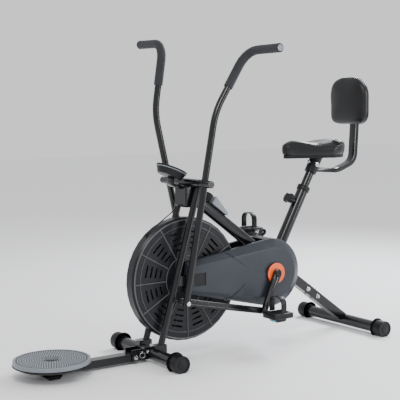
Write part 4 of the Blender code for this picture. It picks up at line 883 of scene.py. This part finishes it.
def hex_bolt(size):
    """A domed hexagon head on a washer, standing on the origin along Z."""
    head = add("cylinder", "head", vertices=6, radius=size, depth=size * 0.8)
    edit_faces(head, lambda face, normal: normal.z > 0.9)
    bpy.ops.mesh.inset(thickness=size * 0.18)
    bpy.ops.transform.translate(value=(0, 0, size * 0.12))
    close_edit()
    rounded(head, 0.0005, 2, 30)
    settle(head, Matrix.Translation((0, 0, size * 0.4 + 0.0014)))
    plate = add("cylinder", "washer", vertices=32, radius=size * 1.5, depth=0.0016)
    rounded(plate, 0.0004, 2, 40)
    settle(plate, Matrix.Translation((0, 0, 0.0008)))
    return joined([head, plate], "bolt")


def frame_bolts():
    """The bolts that hold the legs to the feet, and the rear leg to the frame."""
    low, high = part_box("front_foot_tube")
    foot_x, foot_z = (low[0] + high[0]) / 2, (low[2] + high[2]) / 2
    upright = [at((foot_x - 0.0190, side * 0.059, foot_z + 0.0395)) for side, _ in SIDES]
    sloped = [at((foot_x - 0.0255, side * 0.0395, foot_z + 0.0120), (-0.906, 0, 0.423)) for side, _ in SIDES]
    across, through = [], []
    for station in (0.215, 0.283):
        for side, _ in SIDES:
            place = LEG_START + LEG_SLOPE * station
            across.append(at((place.x, side * LEG_FACE, place.z), (0, side, 0)))
    for station in (0.228, 0.268):
        for face in (LEG_NORMAL, -LEG_NORMAL):
            through.append(at(LEG_START + LEG_SLOPE * station + face * LEG_FACE, face))
    pieces = spread(hex_bolt(0.0062), upright + through)
    pieces += spread(hex_bolt(0.0058), sloped)
    pieces += spread(hex_bolt(0.0068), across)
    bolts = joined(pieces, "frame_bolts")
    smooth(bolts, 30)
    keep(bolts, "frame", STEEL)


def lock_pin():
    """The spring pin with a pull ring that locks the twister's arm in its bracket."""
    low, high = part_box("twister_bracket")
    place = Vector(((low[0] + high[0]) / 2, low[1], high[2] - PIN_DROP))
    stem = add("cylinder", "stem", vertices=24, radius=PIN_R, depth=PIN_LENGTH)
    edit_faces(stem, lambda face, normal: normal.z > 0.9)
    bpy.ops.mesh.inset(thickness=PIN_R * 0.3)
    bpy.ops.mesh.extrude_region_shrink_fatten(TRANSFORM_OT_shrink_fatten={"value": 0.0015})
    close_edit()
    rounded(stem, 0.0005, 2, 40)
    settle(stem, at(place - Vector((0, PIN_LENGTH / 2 - 0.001, 0)), (0, -1, 0)))
    ring = add("torus", "ring", major_radius=PIN_RING_R, minor_radius=0.0011, major_segments=48,
               minor_segments=10)
    settle(ring, at(place - Vector((0, PIN_LENGTH - 0.003, PIN_RING_R)), (0.2, 1, 0)))
    pin = joined([stem, ring], "twister_lock_pin")
    smooth(pin, 40)
    keep(pin, "frame", STEEL)


def seat_bolts():
    axis = SLIDES["seat_height"]
    front = Vector((-axis.z, 0, axis.x))
    middle = Vector((0.3456, 0, 0.306)) + axis * 0.515
    sides = [at((middle.x, side * CLAMP_FACE, middle.z), (0, side, 0)) for side, _ in SIDES]
    pieces = spread(hex_bolt(0.0070), sides)
    pieces += spread(hex_bolt(0.0062), [at(middle + front * CLAMP_FACE, front)])
    bolts = joined(pieces, "seat_bolts")
    smooth(bolts, 30)
    keep(bolts, "seat", STEEL)


def console_case():
    """The round console: a domed rim, a sunk face with a window and two keys."""
    tilt = math.radians(24.0)
    points = [vertex.co for vertex in frame["nodes"]["console"].data.vertices]
    axis = Vector((math.sin(tilt), 0, math.cos(tilt)))
    low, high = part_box("console")
    centre = Vector(((low[0] + high[0]) / 2, 0, (low[2] + high[2]) / 2))
    top = max(point.dot(axis) for point in points)
    base = min(point.dot(axis) for point in points)
    thick = top - base
    middle = centre + axis * ((top + base) / 2 - centre.dot(axis))
    case = add("cylinder", "console_case", vertices=64, radius=0.0665, depth=thick)
    edit_faces(case, lambda face, normal: normal.z < -0.9)
    bpy.ops.transform.resize(value=(0.76, 0.76, 1.0))
    close_edit()
    edit_faces(case, lambda face, normal: normal.z > 0.9)
    bpy.ops.mesh.inset(thickness=0.012)
    bpy.ops.mesh.extrude_region_shrink_fatten(TRANSFORM_OT_shrink_fatten={"value": -0.0022})
    close_edit()
    rounded(case, 0.004, 4, 40)
    frame_matrix = Matrix.Translation(middle) @ Matrix.Rotation(tilt, 4, "Y")
    settle(case, frame_matrix)
    smooth(case, 40)
    keep(case, "frame", BLACK, ("console",))
    window = add("cube", "console_window", size=1.0)
    window.scale = (0.038, 0.062, 0.0030)
    settle(window)
    rounded(window, 0.0022, 3, 40)
    edit_faces(window, lambda face, normal: normal.z > 0.99 and face.z > 0.001)
    bpy.ops.mesh.inset(thickness=0.003)
    bpy.ops.mesh.extrude_region_shrink_fatten(TRANSFORM_OT_shrink_fatten={"value": -0.0006})
    close_edit()
    settle(window, frame_matrix @ Matrix.Translation((-0.008, 0, thick / 2 - 0.0014)))
    smooth(window)
    keep(window, "frame", SCREEN)
    key = add("cylinder", "key", vertices=32, radius=0.0065, depth=0.004)
    rounded(key, 0.0012, 3, 40)
    places = [frame_matrix @ Matrix.Translation((0.030, y, thick / 2 - 0.0012)) for y in (-0.016, 0.016)]
    pad = joined(spread(key, places), "console_keys")
    smooth(pad)
    keep(pad, "frame", GREY)
    band = add("torus", "console_band", major_radius=0.0622, minor_radius=0.0022, major_segments=72,
               minor_segments=10)
    settle(band, frame_matrix @ Matrix.Translation((0, 0, thick * 0.26)))
    smooth(band)
    keep(band, "frame", GREY)


def twister():
    """The turning plate with rings of massage studs, a sunk rim line and a centre button."""
    low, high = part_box("twister_disc")
    radius = (high[0] - low[0]) / 2
    thick = high[2] - low[2]
    centre = Vector((TWISTER.x, 0, (low[2] + high[2]) / 2))
    plate = add("cylinder", "twister_plate", vertices=128, radius=radius, depth=thick)
    edit_faces(plate, lambda face, normal: normal.z > 0.9)
    bpy.ops.mesh.inset(thickness=0.007)
    bpy.ops.mesh.extrude_region_shrink_fatten(TRANSFORM_OT_shrink_fatten={"value": -0.0014})
    close_edit()
    rounded(plate, 0.0022, 3, 50)
    settle(plate, Matrix.Translation(centre))
    smooth(plate, 40)
    keep(plate, "twister_disc", GREY, ("twister_disc",))
    face_z = high[2] - 0.0014
    rings = []
    for ring in STUD_RINGS:
        reach = ring * STUD_PITCH
        if reach > radius - 0.012:
            continue
        stud = add("cone", "stud", vertices=8, radius1=STUD_R, radius2=STUD_R * 0.55, depth=STUD_RISE)
        settle(stud, Matrix.Translation((centre.x + reach, 0, face_z + STUD_RISE / 2 - 0.0002)))
        edit_all(stud)
        count = int(2 * math.pi * reach / STUD_PITCH)
        bpy.ops.mesh.spin(steps=count, dupli=True, angle=2 * math.pi, center=(centre.x, 0, face_z),
                          axis=(0, 0, 1))
        bpy.ops.mesh.select_all(action="SELECT")
        bpy.ops.mesh.remove_doubles(threshold=0.00005)
        close_edit()
        rings.append(stud)
    button = add("cylinder", "button", vertices=64, radius=0.027, depth=0.0020)
    rounded(button, 0.0008, 3, 40)
    rings.append(settle(button, Matrix.Translation((centre.x, 0, face_z + 0.0008))))
    for reach in (0.0325, radius - 0.0110):
        line = add("torus", "line", major_radius=reach, minor_radius=0.0009, major_segments=96,
                   minor_segments=8)
        rings.append(settle(line, Matrix.Translation((centre.x, 0, face_z + 0.0002))))
    studs = joined(rings, "twister_studs")
    smooth(studs, 35)
    keep(studs, "twister_disc", SLATE)
    low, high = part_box("twister_base")
    radius, thick = (high[0] - low[0]) / 2, high[2] - low[2]
    tray = add("cylinder", "twister_tray", vertices=128, radius=radius, depth=thick)
    edit_faces(tray, lambda face, normal: normal.z < -0.9)
    bpy.ops.transform.resize(value=(0.86, 0.86, 1.0))
    close_edit()
    rounded(tray, 0.0020, 3, 30)
    settle(tray, Matrix.Translation((centre.x, 0, (low[2] + high[2]) / 2)))
    smooth(tray, 40)
    keep(tray, "twister_arm", BLACK, ("twister_base",))


# ---- stage -----------------------------------------------------------------------------------
def area_light(name, place, target, size, power, colour=(1, 1, 1)):
    data = bpy.data.lights.new(name, "AREA")
    data.shape = "RECTANGLE"
    data.size, data.size_y = size
    data.energy = power
    data.color = colour
    lamp = bpy.data.objects.new(name, data)
    bpy.context.scene.collection.objects.link(lamp)
    aim = Vector(target) - Vector(place)
    turn = Vector((0, 0, -1)).rotation_difference(aim).to_matrix().to_4x4()
    lamp.matrix_world = Matrix.Translation(place) @ turn


def studio():
    floor = add("plane", "floor", size=30.0, location=(0, 0, -0.0005))
    ground = bpy.data.materials.new("pale_floor")
    ground.use_nodes = True
    shader = ground.node_tree.nodes["Principled BSDF"]
    shader.inputs["Base Color"].default_value = (0.93, 0.93, 0.94, 1.0)
    shader.inputs["Roughness"].default_value = 0.75
    paint(floor, ground)
    world = bpy.data.worlds.new("studio")
    bpy.context.scene.world = world
    world.use_nodes = True
    back = world.node_tree.nodes["Background"]
    back.inputs["Color"].default_value = (0.98, 0.985, 1.0, 1.0)
    back.inputs["Strength"].default_value = 1.0
    area_light("key", (-1.8, -2.2, 3.0), (0, 0, 0.5), (1.2, 1.2), 60)
    area_light("rear_strip", (2.6, 0.8, 2.2), (0.2, 0, 0.5), (0.5, 2.4), 120, (0.93, 0.96, 1.0))
    area_light("side_strip", (2.2, -2.6, 1.3), (0.2, 0, 0.5), (0.35, 2.0), 46, (0.95, 0.97, 1.0))


def camera():
    """A long lens at the rider's front left, a little above the saddle and turned by under a degree."""
    place = Vector((-2.252, -3.402, 1.024))
    target = Vector((-0.0117, 0.0, 0.6344))
    roll = math.radians(-0.857)
    ahead = (target - place).normalized()
    right = ahead.cross(UP).normalized()
    above = right.cross(ahead)
    turned_right = right * math.cos(roll) + above * math.sin(roll)
    turned_up = above * math.cos(roll) - right * math.sin(roll)
    data = bpy.data.cameras.new("camera")
    data.sensor_width = 36.0
    data.lens = 88.92
    data.clip_end = 60.0
    obj = bpy.data.objects.new("camera", data)
    bpy.context.scene.collection.objects.link(obj)
    turn = Matrix((turned_right, turned_up, -ahead)).transposed().to_4x4()
    obj.matrix_world = Matrix.Translation(place) @ turn
    bpy.context.scene.camera = obj


def build():
    ease_parts()
    for side, word in SIDES:
        chain_cover(side, word)
        fan_drum(side, word)
        foot_cap("front_foot_cap_" + word, side)
        foot_cap("rear_foot_cap_" + word, side)
        grip_plug(side, word)
        crank_trim(side, word)
        pedal(side, word)
    lobed_knob()
    tension_dial()
    console_case()
    twister()
    frame_bolts()
    lock_pin()
    seat_bolts()
    upholstery()
    studio()
    camera()


build()
